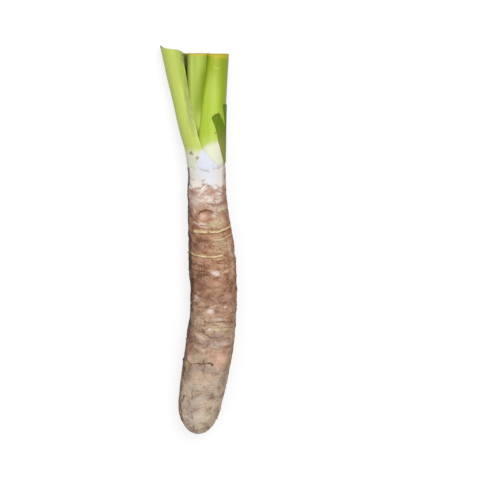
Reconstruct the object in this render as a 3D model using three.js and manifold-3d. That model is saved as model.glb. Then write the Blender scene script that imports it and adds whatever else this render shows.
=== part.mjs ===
// A freshly dug taro root with its leaf stalks cut short, lying on its side on a flat surface.
//
// The long corm lies along Y, with its blunt tip towards -Y and its crown towards +Y. Three leaf
// stalks grow from the crown, one inside the other: the outer one leans left and wraps round the
// rest, the right one comes out of its sheath, and the young middle one stands between them.
// A thin strip of an older leaf sheath still clings to the right-hand side.
// Stations are distances in mm from the tip, along Y. Angles turn about Y from straight up to +X.

import * as THREE from "three";
import { mergeVertices } from "three/addons/utils/BufferGeometryUtils.js";
import Module from "manifold-3d";

const wasm = await Module();
wasm.setup();

// Driving dimensions, mm.
const CROWN = 337.4; // station of the crown, where the corm ends and the leaf stalks begin
const CAP_LENGTH = 45; // the blunt tip is half an ellipsoid of this length
const STALK_BEND = 372; // below this station the stalks bend out of the crown
const TOP_CUT = 478.5; // station of the straight knife cut across the middle and right stalks
const CUT_LEAN = -0.16; // every knife cut falls back towards the upper side by this slope
const GAP = 0.3; // clearance between neighbouring pieces
const BELLY_SINK = 1; // how far the round belly would reach below the surface, now pressed flat
const CORM_DEPTH = 0.97; // half depth over half width
const CROWN_LIFT = 3.6; // the narrower crown hangs this far above the surface
const TIP_DROP = 3; // the tip's middle lies this far below the belly's middle
const RING_HEIGHT = 0.4; // growth rings stand this far out of the skin
const RING_SPACING = 16; // from one growth ring to the next
const CROWN_TILT_ACROSS = 0.08; // the crown's plane rises to the right by this slope
const CROWN_TILT_DEPTH = -0.34; // and falls towards the upper side by this one
const RINGS_SQUARE = 120; // growth rings are square to the corm up to this station
const STALKS_SQUARE = 380; // and the stalks' sections from this one on

// The corm: [station, centre across, half width].
const CORM_KEYS = [
  [0, -12.5, 28],
  [CAP_LENGTH, -9.2, 28],
  [60, -6.7, 29.4],
  [90, -1.8, 30.4],
  [120, 2.4, 30.6],
  [150, 5.8, 29.6],
  [180, 6.9, 29.4],
  [210, 5.5, 30.2],
  [240, 3.8, 28.9],
  [270, 0.7, 27],
  [295, -1.3, 25],
  [315, -1.9, 24.4],
  [CROWN, -2.5, 24.4],
];

// Axillary buds on the corm: [station, angle, half width, height].
const BUDS = [
  [274, -10, 9, 2],
  [172, -62, 7, 2.4],
  [226, 128, 8, 2.2],
  [118, 235, 8, 2],
];

// A sheathing leaf stalk is a crescent: a round outside, and a channel that opens inwards.
// [station, centre across, centre height, half width, depth over width, margin angle, thickness]
const LEFT_KEYS = [
  [CROWN, -2.5, 27, 24.3, 0.97, 52, 7],
  [346, -3.4, 26.8, 24.2, 0.97, 66, 8],
  [358, -8, 26, 22, 0.97, 80, 9.5],
  [372, -13.6, 24.6, 20.2, 0.96, 80, 11],
  [390, -20.6, 22.6, 17.8, 0.97, 68, 14],
  [418, -29.6, 19.4, 15.4, 1.04, 40, 18],
  [448, -37.8, 17, 14.8, 1.12, 30, 20],
  [488, -45.6, 16.4, 15.6, 1.1, 24, 22],
];
const RIGHT_KEYS = [
  [CROWN, 1, 27, 20.4, 0.97, 30, 5],
  [346, 1.3, 26.8, 20.3, 0.97, 32, 6],
  [358, 2.1, 26.3, 20, 0.98, 34, 8.5],
  [372, 3.1, 25, 19.1, 1, 36, 11],
  [390, 4.2, 23.2, 18.1, 1.03, 36, 14],
  [418, 5.8, 20.6, 17, 1.08, 32, 18],
  [448, 8.4, 18.4, 16, 1.12, 42, 21],
  [TOP_CUT, 10.4, 17.4, 15.5, 1.15, 54, 23],
];
const MARGIN_THICKNESS = 1.2; // of the sheaths' free edges
const LEFT_CUT_SLOPE = -0.32; // the left stalk is cut on the slant, highest at its outer side
const LEFT_CUT_LEVEL = 484; // station of that cut at the stalk's middle

// The middle stalk is a plain rod: [station, centre across, centre height, half width, depth].
const MIDDLE_KEYS = [
  [CROWN, -1.6, 27, 10, 0.97],
  [358, -4, 26.4, 9.6, 1],
  [390, -9, 24.4, 9.2, 1.04],
  [418, -12, 22.6, 10, 1.06],
  [448, -13.4, 21, 12, 1.06],
  [TOP_CUT, -13.1, 20, 13.4, 1.06],
];

// The strip of old sheath on the right stalk, from its upper edge round the side to its lower
// edge, as angles from +X: [station, upper edge, lower edge].
const STRIP_KEYS = [
  [341, 24, 30],
  [352, 42, 60],
  [363, 54, 74],
  [381, 68, 80],
  [397, 88, 84],
  [418, 92, 84],
];
const STRIP_THICKNESS = 1.5;
// Its torn top, seen from above: two lobes with a notch between them, as [across, station].
const STRIP_TOP = [
  [-20, 396],
  [5, 397],
  [14, 403],
  [17.4, 393.5],
  [21.3, 380],
  [22.2, 380],
  [20.7, 393],
  [18.7, 413],
  [30, 415],
];

// Mesh fineness.
const CORM_SIDES = 36;
const CORM_STEPS = 44;
const CAP_STEPS = 7;
const OUTSIDE_STEPS = 22;
const CHANNEL_STEPS = 14;
const BEND_STEPS = 7;
const STRAIGHT_STEPS = 9;
const STRIP_STEPS = 10;

const { degToRad, smoothstep } = THREE.MathUtils;

// Evenly spaced numbers from first to last, both included.
function steps(first, last, count) {
  return Array.from({ length: count + 1 }, (_, i) => first + ((last - first) * i) / count);
}

// Angles round a full turn, the last one left out because it is the first again.
function turn(first, last, count) {
  return steps(first, last, count).slice(0, -1);
}

// A smooth curve through a table's rows, read at any station.
function alongStations(keys) {
  const stations = keys.map((row) => row[0]);
  const values = keys.flatMap((row) => row.slice(1));
  const curve = new THREE.CubicInterpolant(stations, values, keys[0].length - 1);
  return (station) => Array.from(curve.evaluate(station));
}

const cormAt = alongStations(CORM_KEYS);
const leftAt = alongStations(LEFT_KEYS);
const rightAt = alongStations(RIGHT_KEYS);
const middleAt = alongStations(MIDDLE_KEYS);
const stripAt = alongStations(STRIP_KEYS);

// A point across and above a section's centre. tilt is the share of the crown's slant that the
// section there has.
function sectionPoint(station, centre, height, across, depth, tilt) {
  const slant = CROWN_TILT_ACROSS * across + CROWN_TILT_DEPTH * depth;
  return new THREE.Vector3(centre + across, station + tilt * slant, height + depth);
}

function stalkTilt(station) {
  return 1 - smoothstep(station, CROWN, STALKS_SQUARE);
}

// A closed solid through rings of equally many points, with a flat fan at each end. Seen from the
// crown's end, a ring turns clockwise.
function skin(rings) {
  const count = rings[0].length;
  const middleOf = (ring) =>
    ring.reduce((sum, p) => sum.add(p), new THREE.Vector3()).divideScalar(count);
  const points = [...rings.flat(), middleOf(rings[0]), middleOf(rings.at(-1))];
  const firstMiddle = rings.length * count;
  const lastMiddle = firstMiddle + 1;
  const lastRing = firstMiddle - count;
  const faces = [];
  for (let i = 0; i < count; i++) {
    const next = (i + 1) % count;
    for (let ring = 0; ring < lastRing; ring += count) {
      const far = ring + count;
      faces.push(ring + i, ring + next, far + i);
      faces.push(far + i, ring + next, far + next);
    }
    faces.push(firstMiddle, next, i);
    faces.push(lastMiddle, lastRing + i, lastRing + next);
  }
  return new THREE.BufferGeometry().setFromPoints(points).setIndex(faces);
}

// three.js geometry to a manifold-3d solid.
function solidOf(geometry) {
  const bare = geometry.clone();
  bare.deleteAttribute("normal");
  bare.deleteAttribute("uv");
  const merged = mergeVertices(bare, 1e-3);
  const mesh = new wasm.Mesh({
    numProp: 3,
    vertProperties: new Float32Array(merged.getAttribute("position").array),
    triVerts: new Uint32Array(merged.index.array),
  });
  return new wasm.Manifold(mesh);
}

// A manifold-3d solid to three.js geometry.
function geometryOf(solid) {
  const mesh = solid.getMesh();
  const geometry = new THREE.BufferGeometry();
  geometry.setAttribute("position", new THREE.BufferAttribute(mesh.vertProperties, 3));
  geometry.setIndex(new THREE.BufferAttribute(mesh.triVerts, 1));
  return geometry;
}

// Cuts a solid and keeps its largest body, without the crumbs that a cut can leave.
function cut(solid, ...cutters) {
  const rest = cutters.reduce((left, cutter) => left.subtract(cutter), solid);
  const bodies = solidOf(geometryOf(rest)).decompose();
  return bodies.sort((a, b) => b.volume() - a.volume())[0];
}

// How far the buds push the skin out at a point of the corm.
function budHeight(station, angle, halfWidth) {
  return BUDS.reduce((sum, [budStation, budAngle, budHalfWidth, height]) => {
    const away = angle - degToRad(budAngle);
    const around = (Math.atan2(Math.sin(away), Math.cos(away)) * halfWidth) / budHalfWidth;
    const along = (station - budStation) / (0.8 * budHalfWidth);
    return sum + height * Math.exp(-(around ** 2) - along ** 2);
  }, 0);
}

function cormPoint(station, angle) {
  const [centre, halfWidth] = cormAt(station);
  const cap = Math.min(1, station / CAP_LENGTH);
  const roundness = Math.sqrt(1 - (1 - cap) ** 2);
  const neck = smoothstep(station, 230, CROWN);
  const belly = halfWidth * CORM_DEPTH - BELLY_SINK;
  const height = belly + CROWN_LIFT * neck - TIP_DROP * (1 - roundness);
  const ringShare = smoothstep(station, CAP_LENGTH, 110) * (1 - neck);
  const ring = RING_HEIGHT * ringShare * Math.sin((2 * Math.PI * station) / RING_SPACING);
  const radius = halfWidth * roundness + ring + budHeight(station, angle, halfWidth);
  const across = radius * Math.sin(angle);
  const depth = radius * CORM_DEPTH * Math.cos(angle);
  const tilt = smoothstep(station, RINGS_SQUARE, CROWN);
  return sectionPoint(station, centre, height, across, depth, tilt);
}

function corm() {
  const capAngles = steps(0.12, Math.PI / 2, CAP_STEPS);
  const capStations = capAngles.map((angle) => CAP_LENGTH * (1 - Math.cos(angle)));
  const bodyStations = steps(CAP_LENGTH, CROWN, CORM_STEPS).slice(1);
  const rings = [...capStations, ...bodyStations].map((station) =>
    turn(0, 2 * Math.PI, CORM_SIDES).map((angle) => cormPoint(station, angle)),
  );
  return solidOf(skin(rings));
}

// A crescent's outline as [across, depth] from its centre, opening towards +across. The outside is
// an arc between the margins, and the channel is the arc through the margins' inner sides and the
// point that the thickness gives.
function crescent(halfWidth, marginAngle, thickness, grow) {
  const outerRadius = halfWidth + grow;
  const arcPoint = (middle, radius) => (angle) => [
    middle + radius * Math.cos(angle),
    radius * Math.sin(angle),
  ];
  const outerAngles = steps(marginAngle, 2 * Math.PI - marginAngle, OUTSIDE_STEPS);
  const marginRadius = halfWidth - MARGIN_THICKNESS - grow;
  const marginAcross = marginRadius * Math.cos(marginAngle);
  const marginDepth = marginRadius * Math.sin(marginAngle);
  const floor = -halfWidth + thickness + grow;
  const middle =
    (marginAcross ** 2 + marginDepth ** 2 - floor ** 2) / (2 * (marginAcross - floor));
  const channelAngle = Math.atan2(marginDepth, marginAcross - middle);
  const channelAngles = steps(2 * Math.PI - channelAngle, channelAngle, CHANNEL_STEPS);
  return [
    ...outerAngles.map(arcPoint(0, outerRadius)),
    ...channelAngles.map(arcPoint(middle, middle - floor)),
  ];
}

// Stations up a stalk, closer together where it bends out of the crown. A fatter copy, which cuts
// room for the stalk out of its neighbours, reaches past both ends.
function stalkStations(grow) {
  const past = grow > 0 ? 3 : 0;
  const bend = steps(CROWN + GAP - past, STALK_BEND, BEND_STEPS);
  return [...bend, ...steps(STALK_BEND, TOP_CUT + past, STRAIGHT_STEPS).slice(1)];
}

// A sheathing stalk. facing is 1 where its channel opens to the right and -1 where to the left,
// and cutSlope slants its top.
function sheathingStalk(at, facing, cutLevel, cutSlope, grow) {
  const rings = stalkStations(grow).map((station) => {
    const [centre, height, halfWidth, depthRatio, marginDegrees, thickness] = at(station);
    const outline = crescent(halfWidth, degToRad(marginDegrees), thickness, grow);
    const nearTop = smoothstep(station, STALK_BEND, TOP_CUT);
    const ring = outline.map(([x, y]) => {
      const across = facing * x;
      const depth = depthRatio * y;
      const cutHere = cutLevel - TOP_CUT + cutSlope * across + CUT_LEAN * depth;
      const stretch = nearTop * cutHere;
      const lean = at(station + stretch)[0] - centre;
      const tilt = stalkTilt(station);
      return sectionPoint(station + stretch, centre + lean, height, across, depth, tilt);
    });
    return facing > 0 ? ring.reverse() : ring;
  });
  return solidOf(skin(rings));
}

function leftStalk(grow) {
  return sheathingStalk(leftAt, 1, LEFT_CUT_LEVEL, LEFT_CUT_SLOPE, grow);
}

function rightStalk(grow) {
  return sheathingStalk(rightAt, -1, TOP_CUT, 0, grow);
}

function middleStalk(grow) {
  const rings = stalkStations(grow).map((station) => {
    const [centre, height, halfWidth, depthRatio] = middleAt(station);
    const radius = halfWidth + grow;
    const nearTop = smoothstep(station, STALK_BEND, TOP_CUT);
    return turn(2 * Math.PI, 0, OUTSIDE_STEPS).map((angle) => {
      const across = radius * Math.cos(angle);
      const depth = radius * depthRatio * Math.sin(angle);
      const level = station + nearTop * CUT_LEAN * depth;
      return sectionPoint(level, centre, height, across, depth, stalkTilt(station));
    });
  });
  return solidOf(skin(rings));
}

// The old sheath strip, thicker on the inside by the room that the right stalk is cut out of it.
function sheathSheet() {
  const rings = steps(STRIP_KEYS[0][0], STRIP_KEYS.at(-1)[0], STRIP_STEPS).map((station) => {
    const [upperEdge, lowerEdge] = stripAt(station);
    const [centre, height, halfWidth, depthRatio] = rightAt(station);
    const wall = (radius) => (angle) => {
      const across = radius * Math.cos(angle);
      const depth = radius * depthRatio * Math.sin(angle);
      return sectionPoint(station, centre, height, across, depth, stalkTilt(station));
    };
    const angles = steps(degToRad(upperEdge), degToRad(-lowerEdge), CHANNEL_STEPS);
    const inside = angles.toReversed().map(wall(halfWidth - GAP));
    return [...angles.map(wall(halfWidth + STRIP_THICKNESS)), ...inside];
  });
  return solidOf(skin(rings));
}

// A block over the strip's torn top, which takes away what lies past its outline.
function tearBlock() {
  const outline = STRIP_TOP.map(([across, station]) => new THREE.Vector2(across, station));
  const farRight = new THREE.Vector2(30, TOP_CUT);
  const farLeft = new THREE.Vector2(-20, TOP_CUT);
  const shape = new THREE.Shape([...outline, farRight, farLeft]);
  return solidOf(new THREE.ExtrudeGeometry(shape, { depth: 60, bevelEnabled: false }));
}

function piece(name, solid, color, roughness) {
  const material = new THREE.MeshStandardMaterial({ color, roughness, metalness: 0 });
  const mesh = new THREE.Mesh(geometryOf(solid), material);
  mesh.name = name;
  return mesh;
}

// Everything below the surface that the root lies on is pressed flat.
const groundDepth = 40;
const ground = solidOf(
  new THREE.BoxGeometry(400, 1200, groundDepth).translate(0, 200, -groundDepth / 2),
);
const left = cut(leftStalk(0), middleStalk(GAP), rightStalk(GAP), ground);
const right = cut(rightStalk(0), middleStalk(GAP), ground);
const middle = cut(middleStalk(0), ground);
const strip = cut(sheathSheet(), rightStalk(GAP), tearBlock());

const root = new THREE.Group();
root.add(
  piece("corm", cut(corm(), ground), 0xa5806a, 0.85),
  piece("left_leaf_stalk", left, 0xc4d069, 0.45),
  piece("right_leaf_stalk", right, 0xafc94d, 0.42),
  piece("middle_leaf_stalk", middle, 0xb0c45a, 0.45),
  piece("old_sheath_strip", strip, 0x627a1c, 0.5),
);

// The origin is on the surface, under the middle of the whole root.
const box = new THREE.Box3().setFromObject(root);
const centre = box.getCenter(new THREE.Vector3());
root.position.set(-centre.x, -centre.y, -box.min.z);

export default root;
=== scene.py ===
import math

import bmesh
import bpy
import numpy as np
from bpy.props import FloatProperty, FloatVectorProperty, IntProperty, PointerProperty
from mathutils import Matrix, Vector, noise


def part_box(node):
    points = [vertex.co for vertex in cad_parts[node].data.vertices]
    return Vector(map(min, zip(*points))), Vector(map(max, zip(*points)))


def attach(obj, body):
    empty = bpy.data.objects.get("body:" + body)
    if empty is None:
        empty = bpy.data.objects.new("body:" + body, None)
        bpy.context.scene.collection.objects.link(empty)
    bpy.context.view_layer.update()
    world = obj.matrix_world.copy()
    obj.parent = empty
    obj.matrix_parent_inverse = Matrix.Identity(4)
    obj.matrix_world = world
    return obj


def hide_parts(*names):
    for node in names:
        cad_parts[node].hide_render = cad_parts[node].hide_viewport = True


bl_info = {
    "name": "Taro Root",
    "version": (1, 0, 0),
    "blender": (4, 5, 0),
    "location": "View3D > Sidebar > Taro",
    "description": "Grows the skin, leaf stalks and rootlets of one taro root round its packed frame",
    "category": "Object",
}

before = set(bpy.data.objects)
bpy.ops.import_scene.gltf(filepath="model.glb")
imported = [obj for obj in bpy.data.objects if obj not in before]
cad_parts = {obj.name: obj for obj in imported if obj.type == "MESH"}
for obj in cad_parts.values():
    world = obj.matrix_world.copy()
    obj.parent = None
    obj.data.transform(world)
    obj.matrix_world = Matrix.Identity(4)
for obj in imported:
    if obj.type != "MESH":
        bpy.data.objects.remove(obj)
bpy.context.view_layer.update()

# Lengths are in mm and turned to metres when a mesh is made. The root is described in its own
# terms: a station is a distance from the tip along +Y, and an angle turns about Y from straight
# up towards +X.
MM = 0.001
CROWN = 337.4  # the corm ends here and the leaf stalks begin
CAP_LENGTH = 45  # the blunt tip is half an ellipsoid of this length
CAP_ROWS, BODY_ROWS = 58, 340  # rows of points along the tip, and from there to the crown
STRAIGHT_RADIUS = 29  # the skin's noise is laid on a straight corm of this radius
STALK_BEND = 372  # below this station the stalks bend out of the crown
BEND_SHARE = 0.24  # this share of a stalk's rows of points lies in that bend
TOP_CUT = 478.5  # the right and the middle stalk are cut here
CUT_LEAN = -0.16  # every knife cut falls back towards the upper side by this slope
CORM_MIDDLE = -0.4  # the middle of the corm's box lies here across
TIP_START = 0.3  # and its low end at this station
CORM_DEPTH = 0.97  # half depth over half width
BELLY_SINK = 1  # how far the underside is pressed flat where the corm lies down
CROWN_LIFT = 5  # how much higher the corm's middle lies at the crown
TIP_DROP = 3  # and how much lower at the tip
TERRACE = 9.5  # from one old leaf base's ledge to the next
# Near the crown every cross section leans by these slopes. They stand square to the root's length
# below RINGS_SQUARE and above STALKS_SQUARE.
TILT_ACROSS = 0.08
TILT_DEPTH = -0.34
RINGS_SQUARE = 120
STALKS_SQUARE = 380

# The corm: station, centre across, half width.
CORM_KEYS = (
    (0, -12.5, 28),
    (CAP_LENGTH, -9.2, 28),
    (60, -6.6, 29.2),
    (90, -1.3, 29.9),
    (120, 2.8, 30.1),
    (150, 6.3, 29),
    (180, 7.1, 29),
    (210, 5.6, 29.7),
    (240, 3.9, 28.3),
    (270, 0.9, 26.4),
    (295, -1.1, 24.5),
    (312, -1.6, 24.0),
    (326, -1.6, 23.6),
    (CROWN, -2.3, 24.1),
)

# A sheathing leaf stalk: station, centre across, centre height, half width, depth over width,
# margin angle, thickness.
LEFT_KEYS = (
    (CROWN, -2.5, 27, 24.3, 0.97, 44, 4.5),
    (346, -3.3, 26.8, 23.9, 0.97, 62, 5),
    (358, -7.5, 26, 21.9, 0.97, 83, 7),
    (372, -13.6, 24.6, 20.2, 0.96, 84, 10),
    (390, -20.6, 22.6, 17.8, 0.97, 74, 13),
    (418, -29.3, 19.4, 15.4, 1.04, 57, 17),
    (448, -37.4, 17, 14.8, 1.12, 45, 19),
    (488, -45.6, 16.4, 15.6, 1.1, 36, 21),
)
RIGHT_KEYS = (
    (CROWN, 1, 27, 20.4, 0.97, 30, 5),
    (346, 1.3, 26.8, 20.3, 0.97, 32, 6),
    (358, 2.1, 26.3, 20, 0.98, 34, 8.5),
    (372, 3.1, 25, 19.1, 1, 36, 11),
    (390, 4.2, 23.2, 18.1, 1.03, 36, 14),
    (418, 5.8, 20.6, 17, 1.08, 32, 18),
    (448, 8.4, 18.4, 16, 1.12, 40, 21),
    (TOP_CUT, 10.4, 17.4, 15.5, 1.15, 46, 22),
)
# The middle stalk is a plain rod: station, centre across, centre height, half width, depth.
MIDDLE_KEYS = (
    (CROWN, -1.6, 27, 10, 0.97),
    (358, -4.6, 26.4, 9.6, 1),
    (390, -11, 25, 9.4, 1.04),
    (418, -13.6, 23.4, 10.3, 1.06),
    (448, -13.2, 21, 13.3, 1.04),
    (TOP_CUT, -12.3, 20, 14.8, 1.03),
)
# How a stalk is cut: the cut's station at its middle, the slope across it, how far the outer
# edge runs out to a point, and how far the inner edge drops.
LEFT_CUT = (484.2, -0.12, 3.2, 3.4)
RIGHT_CUT = (TOP_CUT, 0, 0, 0)


def linear(hex_colour):
    """An sRGB hex colour as linear RGBA."""
    channels = [int(hex_colour[i : i + 2], 16) / 255 for i in (1, 3, 5)]
    low = [c / 12.92 for c in channels]
    high = [((c + 0.055) / 1.055) ** 2.4 for c in channels]
    return (*[a if c <= 0.04045 else b for c, a, b in zip(channels, low, high)], 1.0)


def colour(name, description, default):
    """A colour setting with an sRGB hex default."""
    return FloatVectorProperty(
        name=name, description=description, subtype="COLOR", size=4, default=linear(default)
    )


def length(name, description, default):
    """A length setting with its default in mm."""
    return FloatProperty(name=name, description=description, unit="LENGTH", default=default * MM)


def smooth_step(value, start, end):
    share = np.clip((np.asarray(value, float) - start) / (end - start), 0, 1)
    return share * share * (3 - 2 * share)


def hump(value, middle, half_width):
    """1 in the middle, falling softly to 0 on both sides."""
    return np.exp(-(((value - middle) / half_width) ** 2))


def along(keys, stations):
    """Smooth curves through a table's rows: one array for each column after the first."""
    table = np.array(keys, float)
    at, values = table[:, 0], table[:, 1:]
    slopes = np.gradient(values, at, axis=0)
    stations = np.asarray(stations, float)
    row = np.clip(np.searchsorted(at, stations) - 1, 0, len(at) - 2)
    span = at[row + 1] - at[row]
    t = ((stations - at[row]) / span)[..., None]
    span = span[..., None]
    curve = (
        (1 + 2 * t) * (1 - t) ** 2 * values[row]
        + t * (1 - t) ** 2 * span * slopes[row]
        + t * t * (3 - 2 * t) * values[row + 1]
        + t * t * (t - 1) * span * slopes[row + 1]
    )
    return np.moveaxis(curve, -1, 0)


def ripple(points, size, octaves, seed):
    """Seeded noise of about -1 to 1. size is its widest ripple in mm, one or one per axis."""
    scaled = points.reshape(-1, 3) / np.asarray(size, float) + (seed * 17.3, seed * 5.7, 3.1)
    values = [noise.fractal(p, 1.0, 2.0, octaves) for p in scaled.tolist()]
    return np.array(values).reshape(points.shape[:-1])


def blurred(values, passes):
    """Values on a grid averaged with their neighbours. The first axis goes round and closes."""
    for _ in range(passes):
        padded = np.pad(values, ((0, 0), (1, 1)), mode="edge")
        sides = np.roll(values, 1, axis=0) + np.roll(values, -1, axis=0)
        values = (values * 2 + sides + padded[:, :-2] + padded[:, 2:]) / 6
    return values


def normals_of(grid):
    """Unit normals of a grid of points whose first axis goes round."""
    around = np.roll(grid, -1, axis=0) - np.roll(grid, 1, axis=0)
    up = np.gradient(grid, axis=1)
    normal = np.cross(up, around)
    return normal / np.maximum(np.linalg.norm(normal, axis=-1, keepdims=True), 1e-9)


def nearest_on(points, leg):
    """How far each place is from a line through these points. leg(start, end) gives how far every
    place is from start, across and along, and then how far end is from start."""
    nearest = np.inf
    for start, end in zip(points, points[1:]):
        x, y, run, rise = leg(start, end)
        share = np.clip((x * run + y * rise) / (run**2 + rise**2), 0, 1)
        nearest = np.minimum(nearest, np.hypot(x - share * run, y - share * rise))
    return nearest


def to_frame(points):
    """Root terms in mm to the frame in metres, by the box of the CAD corm."""
    low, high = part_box("corm")
    across = (low.x + high.x) / 2 - CORM_MIDDLE * MM
    return np.asarray(points) * MM + (across, low.y - TIP_START * MM, 0)


def section_point(station, centre, height, across, depth, tilt):
    """Points of a cross section, which leans the more the nearer tilt is to 1."""
    slant = tilt * (TILT_ACROSS * across + TILT_DEPTH * depth)
    ways = np.broadcast_arrays(centre + across, station + slant, height + depth)
    return np.stack(ways, -1)


def above_surface(points, softness=0.5):
    """Presses what is below the surface flat, with a soft edge."""
    height = points[..., 2]
    points[..., 2] = (height + np.sqrt(height**2 + softness**2)) / 2
    return points


def quads(corners):
    """Faces from grids of point indices, one grid for each corner of a face."""
    return np.stack(corners, -1).reshape(-1, len(corners)).tolist()


def tube_faces(around, rows):
    """Quads of a grid that closes round its first axis. A point's index is column * rows + row."""
    column, row = np.meshgrid(np.arange(around), np.arange(rows - 1), indexing="ij")
    here = column * rows + row
    beside = (column + 1) % around * rows + row
    return quads((here, beside, beside + 1, here + 1))


def add_mesh(name, points, faces, attributes, material):
    """A smooth mesh object in the frame. Each attribute holds a value for every point."""
    mesh = bpy.data.meshes.new(name)
    mesh.from_pydata(to_frame(points).tolist(), [], faces)
    for key, values in attributes.items():
        values = np.asarray(values, np.float32)
        kind, field = ("FLOAT_VECTOR", "vector") if values.ndim == 2 else ("FLOAT", "value")
        mesh.attributes.new(key, kind, "POINT").data.foreach_set(field, values.ravel())
    mesh.shade_smooth()
    mesh.materials.append(material)
    mesh.validate()
    return add_object(name, mesh)


def add_object(name, data):
    added = bpy.data.objects.new(name, data)
    bpy.context.scene.collection.objects.link(added)
    return added


# ------------------------------------------------------------------------ what materials share


def add_node(tree, kind, inputs=None, **settings):
    """Adds one node, sets its properties, and fills or links its inputs."""
    node = tree.nodes.new(kind)
    for name, value in settings.items():
        setattr(node, name, value)
    for key, value in (inputs or {}).items():
        if isinstance(value, bpy.types.NodeSocket):
            tree.links.new(value, node.inputs[key])
        else:
            node.inputs[key].default_value = value
    return node


def worked_out(tree, operation, first, second):
    """Two values added, multiplied or otherwise made into one."""
    inputs = {0: first, 1: second}
    return add_node(tree, "ShaderNodeMath", inputs, operation=operation).outputs[0]


def ranged(tree, value, *limits):
    """A value moved from one range to another and kept in it: from low, from high, to low and to
    high. The last ones are 0 and 1 unless they are given."""
    inputs = dict(enumerate((value, *limits)))
    return add_node(tree, "ShaderNodeMapRange", inputs).outputs[0]


def mixed(tree, share, base, tint):
    """A base colour with its share of a tint."""
    inputs = {0: share, 6: base, 7: tint}
    return add_node(tree, "ShaderNodeMix", inputs, data_type="RGBA").outputs[2]


def new_material(name):
    material = bpy.data.materials.new(name)
    material.use_nodes = True
    material.node_tree.nodes.clear()
    return material, material.node_tree


def finish_material(tree, height, strength, depth, shading):
    """Ends a material in one shader, with bumps of this height field, as deep as this in mm."""
    bumps = {"Height": height, "Strength": strength, "Distance": depth * MM}
    normal = add_node(tree, "ShaderNodeBump", bumps).outputs[0]
    shader = add_node(tree, "ShaderNodeBsdfPrincipled", {**shading, "Normal": normal})
    add_node(tree, "ShaderNodeOutputMaterial", {0: shader.outputs[0]})


def surface_fields(tree, masks, noises):
    """The straight coordinates, a piece's masks, and noises: each one's size in mm round the piece
    and along it, and how far it is warped into wisps."""
    straight = add_node(tree, "ShaderNodeAttribute", attribute_name="straight").outputs["Vector"]
    fields = {"straight": straight}
    for name in masks:
        fields[name] = add_node(tree, "ShaderNodeAttribute", attribute_name=name).outputs["Fac"]
    for name, (round_it, along_it, warp) in noises.items():
        place = scaled_place(tree, straight, (1 / round_it, 1 / along_it, 1 / round_it))
        inputs = {"Vector": place, "Scale": 1.0, "Detail": 4.0, "Roughness": 0.6}
        inputs["Distortion"] = warp
        fields[name] = add_node(tree, "ShaderNodeTexNoise", inputs).outputs["Fac"]
    return fields


def scaled_place(tree, place, scale):
    inputs = {"Vector": place, "Scale": scale}
    return add_node(tree, "ShaderNodeMapping", inputs).outputs[0]


def laid_over(tree, base, fields, layers):
    """Lays colours over a base in turn. A layer: its field, where it starts and where it is full,
    unless that is 0 and 1, how strong it gets, and its colour."""
    for field, *limits, strength, tint in layers:
        share = ranged(tree, fields[field], *(limits or (0.0, 1.0)), 0.0, strength)
        base = mixed(tree, share, base, tint)
    return base


class Surface:
    """A grid of points with masks. A mask has a value from 0 to 1 for each point."""

    def mark(self, name, strength):
        """Adds marks to a mask, which keeps the strongest at each point."""
        self.masks[name] = np.maximum(self.masks[name], strength)


# ---------------------------------------------------------------------------------- the corm

# The masks that colour the corm, each from 0 to 1.
CORM_MASKS = (
    "tone", "flake", "lip", "under", "bare", "chill", "straw", "ash", "blush", "stain", "peach",
    "pale", "ring", "below", "cavity", "seam", "crack", "crown", "side",
)
# Places on the skin are given as (angle in degrees, station).
# Yellowish edges of growth rings: (points, half width, share of the full height, how yellow).
GROWTH_RINGS = (
    (((34, 284.8), (47, 285.4), (72, 284.6), (100, 283)), 1.5, 0.3, 0.35),
    (((2, 272), (26, 272.5), (44, 273.5)), 0.7, 0.3, 0.4),
    (((10, 266.5), (26, 267.5), (42, 269.5), (56, 270)), 0.8, 0.3, 0.55),
    (((-45, 259.6), (-23, 260.1), (-7, 260)), 1.7, 0.6, 1.0),
    (((3, 259.4), (18, 259), (32, 259.2)), 1.4, 0.6, 0.95),
    (((32, 259.2), (46, 260.4), (63, 260.7), (110, 261), (170, 258)), 1.3, 0.5, 1.0),
    (((11, 248.9), (21, 248.2), (32, 248.4)), 1.0, 0.4, 0.7),
    (((32, 248.4), (47, 250.2), (60, 251), (95, 251)), 1.0, 0.4, 0.75),
    (((38, 239.6), (41, 242.6), (47, 243), (51, 240.6), (47, 238.2)), 0.6, 0.3, 0.6),
    (((-80, 232), (-64, 230.9), (-48, 229.6), (-35, 228.6)), 1.1, 0.5, 1.0),
    (((-35, 228.6), (-11, 227.5), (4, 227.4), (28, 228.2)), 1.1, 0.5, 0.9),
    (((14, 223.6), (28, 223.4)), 0.9, 0.3, 0.6),
    (((-17, 201.8), (0, 201.4)), 0.8, 0.3, 0.5),
    (((28, 205.7), (42, 208.5), (60, 210.8), (80, 212)), 1.2, 0.35, 0.45),
    (((-20, 145), (14, 146.6), (50, 144.8)), 0.8, 0.25, 0.25),
    (((6, 137.4), (30, 137.6), (60, 136.8)), 0.9, 0.25, 0.35),
    (((4, 133), (26, 133.4), (60, 133)), 1.1, 0.3, 0.4),
    (((120, 231), (180, 229), (240, 230), (285, 232)), 1.0, 0.45, 0.7),
    (((150, 205), (200, 207), (260, 204)), 0.8, 0.4, 0.4),
    (((190, 262), (240, 260), (300, 261)), 1.2, 0.45, 0.7),
    (((110, 176), (170, 173), (230, 178)), 0.8, 0.35, 0.3),
    (((140, 140), (200, 143), (290, 141)), 0.8, 0.3, 0.25),
)
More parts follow.
